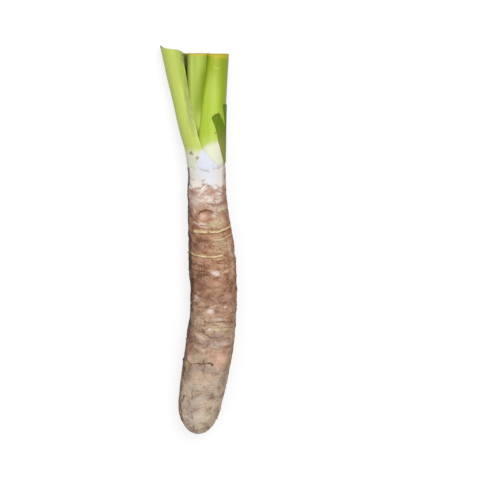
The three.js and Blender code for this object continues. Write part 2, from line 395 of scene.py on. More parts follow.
# Lines drawn on the skin: mask name -> (points, half width, how far it stands out, strength).
LINES = {
    # Reddish folds in the neck's flesh.
    "blush": (
        (((-55, 319), (-46, 314.6), (-34, 313.4), (-24, 314.3), (-12, 316.4),
         (-7, 319.5)), 0.9, -0.4, 0.7),
        (((-7, 319.5), (1, 320), (6, 317.5)), 0.8, -0.4, 0.5),
        (((-60, 330), (-52, 326), (-40, 325)), 1.2, -0.4, 0.25),
        (((30, 318), (40, 313), (54, 311)), 1.1, -0.4, 0.5),
        (((120, 320), (170, 316), (230, 319)), 1.2, -0.4, 0.6),
    ),
    # Dark cracks and creases.
    "crack": (
        (((-66, 96), (-56, 94.5), (-48, 92.8), (-36, 89.4)), 0.7, -0.6, 0.8),
        (((-29, 91.4), (-21, 92), (-14, 90.9), (-7, 91.4)), 1.0, -0.8, 1.0),
        (((-7, 91.4), (2, 92.2), (9, 91.4), (14, 90)), 1.0, -0.9, 1.0),
        (((-8, 95.4), (-6, 92.6), (-3, 88.5)), 0.8, -0.6, 0.8),
        (((-3, 88.5), (-4, 84), (-3, 79.6)), 0.9, -0.4, 0.35),
        (((-22, 134.6), (-17, 129.4), (-13, 127.9), (2, 124.2)), 0.7, -0.6, 0.8),
        (((2, 124.2), (14, 123), (30, 124.4), (44, 122)), 0.6, -0.4, 0.4),
        (((-18, 143.4), (8, 142.7), (30, 142.6), (56, 142)), 0.5, -0.4, 0.6),
        (((-26, 217.4), (-24, 209), (-29, 199)), 0.8, -0.5, 0.55),
        (((-60, 216.2), (-40, 217.4), (-23, 216.6), (4, 216.8)), 1.2, -0.5, 0.4),
        (((-18, 253), (-16, 244.4), (-19, 234)), 0.5, -0.4, 0.4),
        (((-12, 251), (-13, 242)), 0.5, -0.3, 0.3),
        (((-11, 230.2), (8, 229.6), (28, 230.4)), 0.6, -0.3, 0.6),
        (((-46, 50.5), (-56, 41.2), (-54, 31)), 1.6, -0.8, 0.8),
        (((-56, 178.5), (-50, 178.2), (-42, 176)), 0.8, -0.7, 0.7),
        (((20, 300.5), (21, 286), (24, 280)), 0.5, -0.3, 0.35),
        (((100, 96), (140, 92), (185, 95), (240, 91), (288, 95)), 0.7, -0.8, 0.9),
        (((24, 307.7), (25, 300.1), (23, 290.2)), 0.6, -0.4, 0.35),
        (((-60, 283), (-50, 279.7), (-40, 275.4), (-28, 271)), 1.0, -0.5, 0.35),
        (((-24, 282.8), (-16, 285.9), (-5, 287.6)), 0.9, -0.4, 0.35),
        (((-18, 219.6), (-18, 210.4), (-21, 202.4)), 0.6, -0.4, 0.15),
        (((-9, 187.4), (3, 186.4), (15, 187.2)), 0.6, -0.4, 0.3),
        (((7, 132.2), (8, 122.7), (11, 114.7)), 0.8, -0.3, 0.25),
        (((-24, 58.5), (-21, 49)), 0.7, -0.4, 0.5),
        (((-20, 32), (-17, 22)), 0.7, -0.4, 0.5),
        (((-41, 24.5), (-31, 19)), 0.7, -0.4, 0.45),
        (((-17, 13), (-20, 7)), 1.0, -0.4, 0.6),
        (((-26, 43), (-23, 36.5)), 0.6, -0.3, 0.4),
        (((-4, 40.5), (2, 34)), 0.6, -0.3, 0.3),
        (((60, 152), (90, 156), (130, 153)), 0.5, -0.5, 0.6),
        (((210, 190), (250, 186)), 0.6, -0.5, 0.6),
    ),
    # The brown edge where the outer leaf stalk was torn off, fading to the right.
    "crown": (
        (((-80, 339), (-60, 339.6), (-45, 339), (-28, 338.8)), 0.9, 0, 0.9),
        (((-28, 338.8), (-12, 337.4), (1, 335.6), (9, 334.8)), 0.8, 0, 0.55),
        (((24, 336.6), (36, 336.6), (50, 336.6), (66, 337), (90, 337)), 0.8, 0, 0.5),
    ),
    # Pale scrapes and the light edges of dry scales.
    "pale": (
        (((-54, 177.9), (-44, 175), (-35, 171.4)), 1.1, 0.1, 0.5),
        (((-57, 169.4), (-42, 169.6), (-32, 171.1)), 0.7, 0.09, 0.45),
        (((-4, 174.4), (2, 171.8), (9, 168.5)), 1.1, 0.05, 0.25),
        (((-11, 159.6), (-2, 161.9), (8, 163.4)), 0.8, 0.07, 0.35),
        (((-47, 144.3), (-43, 138.8)), 0.7, 0.07, 0.35),
        (((-35, 145.5), (-32, 139)), 0.7, 0.07, 0.35),
        (((-19, 146.2), (-11, 144.6), (-2, 142.6)), 0.7, 0.07, 0.35),
        (((8, 141.1), (19, 140), (35, 138.4)), 1.0, 0.07, 0.35),
        (((-35, 127), (-24, 124.3), (-14, 120.8)), 1.4, 0.07, 0.35),
        (((11, 117.4), (32, 114.6), (58, 115.9)), 1.4, 0.07, 0.35),
        (((-37, 114.8), (-25, 111.4), (-11, 107.3)), 1.6, 0.06, 0.3),
        (((-44, 272.4), (-25, 268.1), (-6, 264.7)), 1.0, 0.09, 0.45),
        (((-17, 245.7), (-20, 239.8), (-17, 234)), 0.7, 0.07, 0.35),
        (((-60, 242.4), (-50, 237.4), (-35, 231.6)), 0.6, 0.07, 0.35),
        (((-7, 302.7), (5, 303.1), (16, 301.5)), 0.9, 0.16, 0.8),
        (((-22, 298.2), (-7, 298.7), (10, 297.3)), 1.2, 0.14, 0.7),
        (((21, 302.4), (35, 301.7), (54, 297.2)), 0.9, 0.12, 0.6),
        (((-43, 295.3), (-41, 289.1), (-38, 284.8)), 1.2, 0.08, 0.4),
        (((-9, 312.4), (-17, 309.3), (-25, 304.8)), 1.4, 0.12, 0.6),
        (((-2, 293.3), (12, 291.7), (20, 287.9)), 1.2, 0.12, 0.6),
        (((100, 240), (130, 236), (150, 238)), 1.0, 0.1, 0.5),
        (((200, 160), (230, 156), (260, 159)), 1.0, 0.08, 0.4),
        (((120, 120), (124, 108)), 0.9, 0.08, 0.4),
    ),
}
# Axillary buds: (angle, station, half width, half length, height, how deep its arched seam is).
BUDS = (
    (-4, 279.2, 11, 8.8, 2.0, 1.0),
    (-27, 320.5, 11, 9, 1.2, 0.0),
    (-49, 174.5, 5.5, 4.5, 1.5, 0.3),
    (7, 312.5, 6, 6, 1.2, 0.45),
    (128, 226, 9, 7, 2.0, 0.9),
    (235, 118, 9, 7, 1.8, 0.8),
    (95, 188, 7, 5, 1.4, 0.7),
    (160, 300, 8, 6, 1.6, 0.8),
)
# Coloured patches: mask name -> (angle, station, half around, half along, strength).
PATCHES = {
    "pale": (
        (8, 205.6, 5.4, 3.2, 1.0), (12, 203.2, 4, 2.2, 0.8), (-7, 156.4, 4.2, 3, 1.0),
        (31, 161, 2, 1, 1.0), (19, 146.6, 6, 2, 0.5), (-5, 133.2, 2.6, 1.3, 0.9),
        (39, 115.6, 8, 2.6, 0.5), (-47, 174, 3.6, 3.4, 0.8), (-14, 279, 3.4, 4, 0.35),
        (42, 288, 8, 2.6, 0.5), (20, 281, 4, 3, 0.5), (-24, 312.2, 4, 2, 0.8),
        (7, 298.9, 5, 2.6, 1.0), (34, 296.2, 8, 2, 1.0), (37, 301, 6, 1.6, 0.8),
        (-25, 300.4, 4, 2.6, 0.7), (-30, 299, 12, 8, 0.5), (-18, 299.6, 8, 3, 0.85),
        (24, 303, 10, 4, 0.4), (-23, 270.2, 6, 1.8, 0.8), (24, 290, 2, 6, 0.5),
        (15, 114.7, 8, 3.4, 0.25), (54, 233, 3, 7, 0.4), (4, 23, 11, 9, 0.35),
        (150, 250, 9, 4, 0.6), (220, 296, 12, 5, 0.7), (260, 60, 9, 6, 0.5),
    ),
    "straw": (
        (45, 286, 9, 3.4, 0.75), (18, 269, 12, 5, 0.8), (42, 270, 7, 5, 0.65),
        (24, 279, 6, 5, 0.5), (24, 133.4, 14, 3.4, 0.5), (-26, 98.5, 8, 5, 0.5),
        (-15, 76, 8, 6, 0.15), (29, 25, 10, 9, 0.5), (5, 14, 14, 8, 0.25),
        (-20, 60, 10, 8, 0.3), (15, 110, 8, 4, 0.35), (22, 246, 9, 6, 0.45),
        (34, 265, 7, 4, 0.4), (27, 236, 8, 5, 0.4), (120, 268, 14, 6, 0.5),
        (250, 130, 16, 8, 0.4), (180, 30, 16, 12, 0.5),
    ),
    "peach": (
        (-15, 279, 6, 5, 0.7), (10, 310.5, 3, 3, 0.5), (36, 97, 11, 9, 0.95),
        (26, 95, 6, 8, 0.7), (31, 87, 4, 5, 0.6), (46, 106, 5, 4, 0.4), (60, 207, 4, 9, 0.55),
        (-49, 97, 4, 5.5, 0.7), (-20, 223, 12, 4, 0.3), (4, 193, 13, 5, 0.35),
        (-42, 223, 8, 4, 0.3), (200, 70, 10, 9, 0.5),
    ),
    "stain": (
        # Stains, except (-60, 215) and (-60, 183), which darken the left side, and (13, 283.3) inside
        # the bud: these are painted shade.
        (-43, 240, 8, 6, 0.9), (-31, 189.6, 11, 8, 1.0), (-48, 256.6, 3.6, 2.4, 1.0),
        (49, 183.8, 5, 3.6, 0.9), (48, 60, 4.4, 4.6, 0.8), (30, 50, 4, 5.6, 1.0),
        (-11, 33, 6, 4, 0.5), (27, 78, 5, 2, 0.5), (13, 283.3, 3, 2.4, 0.35),
        (-50, 76, 8, 10, 0.5), (27, 124, 9, 5, 0.4), (-42, 190, 9, 9, 0.6),
        (-60, 215, 8, 14, 0.8), (-30, 206, 6, 9, 0.5), (-7, 247.5, 12, 3, 0.5),
        (2, 186, 14, 5, 0.35), (-9, 33, 4.5, 3.6, 0.5), (-16, 11, 1.4, 2.4, 0.8),
        (-54, 281, 4, 6, 1.0), (-31, 278.6, 4.4, 3.4, 0.8), (-60, 183, 5, 14, 0.8),
        (5, 84, 8, 4.6, 0.3), (60, 75, 5, 16, 0.6), (10, 170, 14, 4, 0.3),
        (-52, 130, 6, 16, 0.5), (170, 190, 14, 8, 0.6), (230, 250, 12, 8, 0.6),
        (100, 60, 9, 6, 0.5),
    ),
    "blush": (
        (10, 311.4, 5, 5, 1.0), (2, 311, 6, 2.6, 0.9), (-40, 310, 8, 3.4, 1.0),
        (63, 308, 5, 8, 1.0), (66, 325, 4, 14, 0.6), (-26, 186, 10, 5, 0.4),
        (2, 192.5, 15, 7, 0.35), (-8, 222, 12, 4, 0.25), (52, 185, 7, 14, 0.4),
        (44, 289.6, 11, 2.4, 0.85), (68, 294, 5, 6, 0.9), (-34, 279, 4, 7, 0.6),
        (-1, 281, 6, 4, 0.5), (-36, 265, 9, 3, 0.8), (8, 292, 5, 2, 0.6), (-48, 109, 5, 6, 0.8),
        (47, 110.6, 4, 2.6, 0.8), (52, 143, 4.5, 8, 0.8), (-30, 291, 12, 6, 0.3),
        (60, 262, 6, 14, 0.35), (40, 155, 10, 10, 0.35), (190, 280, 14, 6, 0.6),
        (140, 160, 9, 7, 0.5),
    ),
    "ash": (
        # The first three are painted highlights; the rest are grey patches.
        (-26, 124.3, 4, 3, 0.7), (17, 124.4, 5, 4, 0.7), (15, 115, 9, 4, 0.5),
        (10, 85, 7, 4.6, 0.8), (-25, 84.4, 7, 4.6, 0.7), (-30, 60, 9, 9, 0.5),
        (-25, 40, 9, 9, 0.6), (-20, 20, 9, 9, 0.6), (15, 66, 10, 5, 0.5), (2, 45, 9, 7, 0.4),
        (26, 124, 8, 4, 0.5), (-8, 118, 9, 5, 0.4), (210, 50, 14, 12, 0.6),
    ),
    # Painted highlight: a lilac white glare on the neck.
    "chill": (
        (2, 336, 14, 9, 1.0), (12, 328, 11, 9, 0.9), (21, 318, 5, 5, 0.8),
        (190, 330, 10, 8, 0.6),
    ),
}


class Skin(Surface):
    """The corm's surface: its first axis goes round it, its second from tip to crown. relief is how
    far each point stands out, in mm."""

    def __init__(self, around):
        self.angles = np.linspace(0, 2 * np.pi, around, endpoint=False)[:, None]
        # The first ring of points lies just past the pole.
        cap = CAP_LENGTH * (1 - np.cos(np.linspace(0.01, np.pi / 2, CAP_ROWS)))
        body = np.linspace(CAP_LENGTH, CROWN, BODY_ROWS + 1)[1:]
        self.stations = np.concatenate([cap, body])[None, :]
        self.centre, self.half_width = along(CORM_KEYS, self.stations)
        cap_share = np.minimum(1, self.stations / CAP_LENGTH)
        self.roundness = np.sqrt(1 - (1 - cap_share) ** 2)
        radius = STRAIGHT_RADIUS * self.roundness
        ways = (radius * np.sin(self.angles), self.stations, radius * np.cos(self.angles))
        self.straight = np.stack(np.broadcast_arrays(*ways), -1)
        # Degrees from straight up, to either side.
        self.turned = np.degrees(np.abs(np.arctan2(np.sin(self.angles), np.cos(self.angles))))
        self.neck = smooth_step(self.stations, 300, 318)
        self.tip = 1 - smooth_step(self.stations, 60, 110)
        self.rough = (1 - self.neck) * (1 - 0.4 * self.tip)
        self.ragged = 0.8 * self.field(7, 7, 3, seed=2)
        self.ragged_along = 0.9 * self.field(8, 8, 3, seed=3)
        self.fine = self.field(2.4, 2.4, 2, seed=27)
        self.breadth = np.clip(1 + 0.9 * self.field(6, 6, 2, seed=4), 0.4, 2)
        self.lumps = self.field(15, 11, 3, seed=7)
        self.relief = 0.8 * self.field(46, 46, 2, seed=5)
        self.masks = {name: np.zeros(self.relief.shape) for name in CORM_MASKS}

    def field(self, around, along_it, octaves, seed):
        """Noise whose ripples are this wide round the corm and this long along it, in mm."""
        return ripple(self.straight, (around, along_it, around), octaves, seed)

    def to(self, angle, station, wander=1.0):
        """How far each point is from a place on the skin, round it and along it, in mm. wander
        is how much the skin's raggedness shows in that."""
        away = self.angles - math.radians(angle)
        round_it = np.arctan2(np.sin(away), np.cos(away)) * self.half_width
        ahead = self.stations - station
        return round_it + wander * self.ragged, ahead + wander * self.ragged_along

    def stroke(self, points, half_width, wander=1.0):
        """1 on a line through these places, falling to 0 at its ragged edges."""

        def leg(start, end):
            """What nearest_on asks for, on the skin."""
            run = math.radians(end[0] - start[0]) * self.half_width
            return *self.to(*start, wander), run, end[1] - start[1]

        return 1 - smooth_step(nearest_on(points, leg) / (half_width * self.breadth), 0.2, 1.7)

    def spot(self, angle, station, half_around, half_along):
        """1 inside an ellipse round a place, falling to 0 past its ragged edge."""
        x, y = self.to(angle, station)
        reach = np.hypot(x / half_around, y / half_along)
        return 1 - smooth_step(reach + 0.4 * self.ragged + 0.4 * self.fine, 0.5, 1.5)

    def haze(self, angle, station, half_around, half_along):
        """1 at a place, fading far out without an edge."""
        x, y = self.to(angle, station, wander=0.5)
        return hump(x, 0, half_around) * hump(y, 0, half_along)


def peel_neck(skin):
    """Skin is torn off the neck: whole there, in patches below, and left on the sides and back."""
    torn = skin.field(13, 5, 3, seed=11) + 0.5 * skin.field(5, 1.8, 2, seed=12)
    share = smooth_step(skin.stations, 292, 322) * 1.6 - 0.8
    share = share - 1.2 * smooth_step(skin.turned + 10 * skin.field(16, 12, 2, seed=13), 66, 84)
    skin.masks["bare"] = smooth_step(torn + share, 0, 0.2)
    skin.relief -= 0.3 * skin.masks["bare"]


def raise_terraces(skin, wrinkle_depth):
    """Old leaf bases end in low ledges round the corm, each with a painted highlight and shade."""
    drift = 4.5 * skin.field(40, 26, 2, seed=14) + 1.6 * skin.field(9, 9, 2, seed=15)
    step = (skin.stations + drift) / TERRACE % 1
    presence = smooth_step(skin.field(16, 9, 2, seed=16), -0.1, 0.4)
    ledge = step**1.6 * (1 - smooth_step(step, 0.9, 1))
    skin.relief += skin.rough * (wrinkle_depth * presence * ledge + 0.75 * skin.lumps)
    # A painted highlight on each ledge's lip and painted shade at its foot.
    lip = smooth_step(step, 0.78, 0.93) * (1 - smooth_step(step, 0.93, 1))
    skin.masks["lip"] = presence * lip
    skin.masks["under"] = presence * (1 - smooth_step(step, 0, 0.16)) * skin.rough


def crease_skin(skin):
    """Patches of fine creases with painted shade, and thin dry scales that each end in a small step.
    """
    net = np.abs(skin.field(7, 5, 3, seed=17))
    patchy = smooth_step(skin.field(14, 12, 2, seed=18), -0.15, 0.35)
    creases = (1 - smooth_step(net, 0, 0.05)) * patchy * skin.rough
    # Painted shade in the creases.
    skin.mark("under", 0.8 * creases)
    flakes = smooth_step(skin.field(7, 5, 3, seed=8), 0.02, 0.09) * (1 - skin.masks["bare"])
    skin.masks["flake"] = flakes
    grain = skin.field(2.4, 2, 3, seed=10) * (1 - 0.8 * skin.neck)
    skin.relief += 0.22 * flakes - 0.35 * creases + 0.12 * grain


def raise_growth_rings(skin, ring_height):
    """Growth rings stand out with a yellowish edge, and have a line of painted shadow below it."""
    for points, half_width, height, yellow in GROWTH_RINGS:
        line = skin.stroke(points, half_width, wander=0.35)
        skin.relief += ring_height * height * line
        skin.mark("ring", yellow * line)
        # A line of painted shadow just below the ring.
        lower = [(angle, station - 1.5 * half_width) for angle, station in points]
        shade = skin.stroke(lower, 0.7 * half_width, wander=0.5) * (1 - line)
        skin.mark("below", yellow * shade)
    skin.masks["ring"] *= 0.6 + 0.4 * smooth_step(skin.field(7, 4, 2, seed=19), -0.3, 0.1)


def raise_buds(skin):
    """A bud's dome lies under an arched lip of the older skin above it; the seam has painted shadow.
    """
    for angle, station, half_around, half_along, height, arch in BUDS:
        x, y = skin.to(angle, station, wander=0.8)
        reach = np.hypot(x / half_around, y / half_along)
        above = arch * smooth_step(y / half_along, -0.2, 0.45)
        lip = smooth_step(reach, 0.86, 1.08) * (1 - smooth_step(reach, 1.08, 1.9))
        ends = smooth_step(np.abs(x) / half_around, 0.35, 0.95)
        seam = hump(reach, 0.92, 0.17) * above * (1 - 0.6 * ends)
        skin.relief += height * (hump(reach, 0, 0.7) + 0.5 * above * lip - 0.35 * seam)
        # Painted shadow in the seam under the arched lip.
        skin.mark("seam", seam)
        inside = arch * (1 - smooth_step(reach, 0.55, 1)) * smooth_step(reach, 0.15, 0.6)
        skin.mark("blush", 0.75 * inside)


def mark_skin(skin):
    """Draws the lines and lays the patches. Painted highlights and peach patches have no edge."""
    for name, lines in LINES.items():
        for points, half_width, height, strength in lines:
            line = skin.stroke(points, half_width)
            skin.relief += height * line
            skin.mark(name, strength * line)
    for name, patches in PATCHES.items():
        edged = 0 if name in ("chill", "peach") else 0.6
        for *place, strength in patches:
            patch = edged * skin.spot(*place) + (1 - edged) * skin.haze(*place)
            skin.mark(name, strength * patch)


def shade_relief(skin):
    """Painted shade in hollows and highlight on rises, from the relief; darker patches from its
    lumps.
    """
    # The neck's torn rim stands a little proud of the leaf stalks, except in front.
    rim = smooth_step(skin.stations, CROWN - 3, CROWN) * (1 - 0.9 * skin.masks["chill"])
    skin.relief += 0.25 * rim
    ledges, edges = (skin.relief - blurred(skin.relief, passes) for passes in (12, 3))
    # This mask paints shade into the hollows and a highlight onto the rises.
    skin.masks["cavity"] = np.clip(0.5 + 0.6 * ledges + edges, 0, 1)
    tone = 0.35 * skin.field(40, 12, 2, seed=20) + 0.6 * skin.field(9, 6, 3, seed=21)
    skin.masks["tone"] = np.clip(0.5 + 0.75 * (0.5 * skin.lumps + tone), 0, 1)


def shade_sides(skin):
    """Painted shade darkens the sides, most of all the left one. Its edge is frayed."""
    left = 0.5 - 0.5 * np.sin(skin.angles)
    start = 78 - left * (27 + 5 * hump(skin.stations, 190, 45) - 4 * skin.neck)
    fraying = 15 * skin.field(9, 15, 3, seed=32) + 12 * skin.field(3, 4, 3, seed=33)
    frayed = skin.turned + (5 * skin.lumps + fraying) * (1 - 0.75 * skin.neck)
    sides = smooth_step(frayed, start, start + 26 - 16 * skin.neck)
    sides = sides * (1 - 0.75 * smooth_step(frayed, 82, 125)) * smooth_step(skin.stations, 1, 22)
    skin.masks["side"] = sides * (0.4 + 0.6 * left) * (1 - 0.2 * skin.tip)


def leave_soil(skin):
    """Where crumbs of soil still sit, and where rootlets broke off: in the rings, on the sides and
    back. None are left where the corm lies down, and few where its sides bulge furthest."""
    masks = skin.masks
    clear = 1 - smooth_step(skin.turned, 112, 128)
    soil = np.maximum(masks["crack"], 0.4 * masks["seam"])
    masks["dirt"] = soil * smooth_step(skin.field(5, 5, 2, seed=25), -0.1, 0.3) * clear
    around_ring = blurred(np.maximum(masks["ring"], masks["under"]), 10)
    rooting = (0.15 + around_ring) * smooth_step(skin.turned, 40, 75) * (1 - skin.neck)
    masks["rooting"] = rooting * (1 - 0.85 * hump(skin.turned, 86, 14)) * clear


def corm_points(skin):
    """The skin's points in root terms, with its relief."""
    lift = CROWN_LIFT * smooth_step(skin.stations, 230, CROWN)
    height = skin.half_width * CORM_DEPTH - BELLY_SINK + lift - TIP_DROP * (1 - skin.roundness)
    radius = skin.half_width * skin.roundness
    across = radius * np.sin(skin.angles)
    depth = radius * CORM_DEPTH * np.cos(skin.angles)
    tilt = smooth_step(skin.stations, RINGS_SQUARE, CROWN)
    # The torn rim of the neck reaches a little way up the leaf stalks.
    whole = hump(skin.angles % (2 * np.pi), 0.15, 0.5)
    torn_edge = 1.1 + (1 - whole) * 0.9 * skin.ragged
    stations = skin.stations + smooth_step(skin.stations, CROWN - 6, CROWN) * torn_edge
    grid = section_point(stations, skin.centre, height, across, depth, tilt)
    return above_surface(grid + skin.relief[..., None] * normals_of(grid))


def joined_ends(grid):
    """A grid's values as one list, then the means of its first and of its last ring."""
    flat = grid.reshape(-1, *grid.shape[2:])
    return np.concatenate([flat, grid[:, :1].mean(0), grid[:, -1:].mean(0)])


def corm_skin_material(colours):
    """Corky corm skin, grown and rinsed: dry, matt and brown, with ledges, scales and scars. It
    gives the eye ragged bands across the corm, from a pale tip through brown to a bare neck."""
    material, tree = new_material("corky_corm_skin")
    noises = {
        "drift": (24, 18, 0.0),
        "band": (11, 6, 0.6),
        "streak": (5, 3, 1.6),
        "speck": (1.5, 1.2, 0.0),
    }
    fields = surface_fields(tree, CORM_MASKS, noises)
    straight = fields["straight"]
    # The skin's colour goes by the station, with the drift noise moving the limits.
    station = add_node(tree, "ShaderNodeSeparateXYZ", {0: straight}).outputs["Y"]
    drift = ranged(tree, fields["drift"], 0.0, 1.0, -18.0, 18.0)
    share = worked_out(tree, "DIVIDE", worked_out(tree, "ADD", station, drift), CROWN)
    zones = (
        (0.18, colours.tip_skin),
        (0.3, colours.lower_skin),
        (0.44, colours.lower_skin),
        (0.54, colours.middle_skin),
        (0.6, colours.middle_skin),
        (0.68, colours.upper_skin),
        (0.78, colours.upper_skin),
        (0.86, colours.high_skin),
    )
    ramp = add_node(tree, "ShaderNodeValToRGB", {0: share})
    stops = ramp.color_ramp.elements
    stops.remove(stops[-1])
    stops[0].position, stops[0].color = 0.0, colours.tip_skin
    for position, tint in zones:
        stops.new(position).color = tint
    # Dry skin crazes into a fine net.
    bent = add_node(tree, "ShaderNodeTexNoise", {"Vector": straight, "Scale": 0.3})
    bending = {0: bent.outputs["Color"], 1: (4.0, 4.0, 4.0), 2: straight}
    warped = add_node(tree, "ShaderNodeVectorMath", bending, operation="MULTIPLY_ADD").outputs[0]
    cells = {"Vector": scaled_place(tree, warped, (1 / 5, 1 / 2.4, 1 / 5)), "Scale": 1.0}
    net = add_node(tree, "ShaderNodeTexVoronoi", cells, feature="DISTANCE_TO_EDGE")
    fields["net"] = net.outputs["Distance"]
    layers = (
        ("tone", 0.5, 0.95, 0.55, colours.pale_scale_and_highlight),
        ("tone", 0.5, 0.08, 0.65, colours.dark_skin),
        ("band", 0.52, 0.72, 0.35, colours.pale_scale_and_highlight),
        ("band", 0.46, 0.3, 0.4, colours.dark_skin),
        ("flake", 0.2, colours.pale_scale_and_highlight),
        ("streak", 0.54, 0.66, 0.4, colours.pale_scale_and_highlight),
        ("streak", 0.46, 0.34, 0.4, colours.dark_skin),
        ("net", 0.06, 0.0, 0.25, colours.crease_and_shade),
        # Painted highlight on the ledges' lips, then painted shade under them and in creases.
        ("lip", 0.2, 1.0, 0.25, colours.pale_scale_and_highlight),
        ("under", 0.15, 1.0, 0.45, colours.crease_and_shade),
        ("speck", 0.44, 0.26, 0.4, colours.dark_skin),
        ("straw", 0.8, colours.straw),
        # Grey patches, and painted highlights low on the corm.
        ("ash", 0.6, colours.ash),
        ("bare", 0.95, colours.neck_flesh),
        # Painted highlight: lilac white glare on the neck.
        ("chill", 0.0, 0.9, 0.95, colours.highlight_white),
        ("blush", 0.85, colours.blush),
        # Stains, and painted shade in a few places.
        ("stain", 0.65, colours.stain),
        ("peach", 0.8, colours.peach),
        ("pale", 0.85, colours.pale_scar),
        # Painted shadow below the growth rings.
        ("below", 0.1, 1.0, 0.5, colours.crease_and_shade),
        ("ring", 0.1, 1.0, 0.9, colours.ring_line),
        # Painted highlight on the rises and painted shade in the hollows.
        ("cavity", 0.6, 1.0, 0.3, colours.pale_scale_and_highlight),
        ("cavity", 0.4, 0.0, 0.6, colours.crease_and_shade),
        # Painted shadow in the seams over the buds.
        ("seam", 0.1, 1.0, 0.85, colours.seam),
        ("crack", 0.05, 1.0, 0.8, colours.crease_and_shade),
        ("crown", 0.75, colours.stain),
        # Painted shade on the sides, darkest on the left.
        ("side", 0.85, colours.side_shade_brown),
    )
    grain = {"Vector": straight, "Scale": 1.1, "Detail": 5.0}
    grain = add_node(tree, "ShaderNodeTexNoise", grain).outputs["Fac"]
    crazed = ranged(tree, fields["net"], 0.0, 0.15, 0.0, 0.6)
    # The bare flesh of the neck is smoother.
    strength = ranged(tree, fields["bare"], 0.0, 1.0, 0.7, 0.12)
    bumps = worked_out(tree, "ADD", grain, crazed)
    finish_material(tree, bumps, strength, depth=0.45, shading={
        "Base Color": laid_over(tree, ramp.outputs[0], fields, layers),
        "Roughness": ranged(tree, fields["bare"], 0.0, 1.0, 0.88, 0.55),
        "IOR": 1.45,
        "Specular IOR Level": 0.3,
    })
    return material


class CormSettings(bpy.types.PropertyGroup):
    wrinkle_depth: length("Wrinkle depth", "Height of the ledges across the skin", 0.55)
    ring_height: length("Ring height", "How far a growth ring of full height stands out", 0.9)
    around: IntProperty(name="Points around", description="Points round the corm", default=232)
    tip_skin: colour("Tip skin", "Skin near the blunt tip", "#cbb9a6")
    lower_skin: colour("Lower skin", "Skin above the tip", "#a98a74")
    middle_skin: colour("Middle skin", "Skin half way up", "#956248")
    upper_skin: colour("Upper skin", "Younger skin towards the crown", "#a67355")
    high_skin: colour("High skin", "Skin just below the neck", "#cda493")
    neck_flesh: colour("Neck flesh", "Bare flesh of the neck", "#ebe3da")
    # Painted highlight: the lilac white glare on the neck.
    highlight_white: colour("Cool flesh", "Bluish white flesh on the neck's upper side", "#d8dbe4")
    dark_skin: colour("Dark skin", "Darker mottling", "#6e4936")
    # Thin dry scales, and also the painted highlight on ledge lips and rises.
    pale_scale_and_highlight: colour("Pale scales", "Thin dry scales of skin", "#dcba9a")
    pale_scar: colour("Pale scars", "Scraped spots", "#efdfd5")
    straw: colour("Straw", "Pale greenish yellow patches", "#cfc3a0")
    # Greyish patches, and also painted highlights low on the corm.
    ash: colour("Ash", "Greyish patches near the tip", "#b9aca2")
    peach: colour("Peach", "Orange pink patches under rubbed skin", "#eec1a8")
    blush: colour("Blush", "Reddish bud and bruise colour", "#9a6149")
    # Also painted shade on the left side and inside a bud.
    stain: colour("Stain", "Dark stained patches", "#6b4838")
    # Painted shadow under a bud's arched lip.
    seam: colour("Seam", "Arched seam over a bud", "#6b452e")
    # Soil-dark creases and cracks, and also the painted shade under ledges, below growth rings and in
    # hollows.
    crease_and_shade: colour("Crease", "Soil-dark creases and cracks", "#4b372b")
    # Painted shade on the sides, darkest on the left.
    side_shade_brown: colour("Edge skin", "Soil-stained skin on the sides", "#3d2a1f")
    ring_line: colour("Ring line", "Yellow edge of a growth ring", "#e9dda2")



class TARO_OT_grow_corm(bpy.types.Operator):
    """Grow the corm: one closed skin with its growth rings, buds, creases and cracks"""

    bl_idname = "taro.grow_corm"
    bl_label = "Grow Corm"

    def execute(self, context):
        settings = context.scene.taro_corm
        skin = Skin(settings.around)
        peel_neck(skin)
        raise_terraces(skin, settings.wrinkle_depth / MM)
        crease_skin(skin)
        raise_growth_rings(skin, settings.ring_height / MM)
        for work in (raise_buds, mark_skin, shade_relief, shade_sides, leave_soil):
            work(skin)
        around, rows = skin.relief.shape
        tip, crown = around * rows, around * rows + 1
        faces = tube_faces(around, rows)
        for column in range(around):
            here, beside = column * rows, (column + 1) % around * rows
            faces += [[tip, beside, here], [crown, here + rows - 1, beside + rows - 1]]
        values = {"straight": skin.straight, **skin.masks}
        attributes = {name: joined_ends(grid) for name, grid in values.items()}
        points = joined_ends(corm_points(skin))
        corm = add_mesh("corm_skin", points, faces, attributes, corm_skin_material(settings))
        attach(corm, "root")
        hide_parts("corm")
        return {"FINISHED"}


# ------------------------------------------------------------------------------ the leaf stalks

STALK_MASKS = (
    "ripe", "deep", "dark", "pale", "membrane", "blanch", "papery", "earthy", "rim", "dry", "dirt",
    "cut",
)
# Points round a sheath's wall, across its cut face, round the rod, and across the rod's cut.
SHEATH_COLUMNS, CUT_ROWS, ROD_COLUMNS, ROD_RINGS = 170, 14, 96, 14
# Dirt on the stalks: place across, station, radius.
DIRT = (
    (-21.8, 350.9, 1.5), (-20.2, 352.4, 0.9), (-19.1, 349.3, 1.1), (-13.4, 344, 1.7),
    (-12.3, 345.8, 1), (-14.2, 340, 1), (-17.6, 341.5, 0.6), (9.6, 375.9, 1.1),
    (-32.6, 474.5, 1), (-33, 469, 0.9), (-34.6, 479, 0.8), (-21.2, 407, 0.7), (-28, 382.5, 0.6),
)
# The groove and the slit on both sides of the middle stalk, as (station, across).
GROOVE = (
    (384, -12.4), (397, -11.7), (413.6, -10.5), (436, -7.7), (453, -4.3), (462, -2.2), (482, -2.2)
)
SLIT = ((425, -24), (440, -24.4), (455, -24), (485, -23.6))
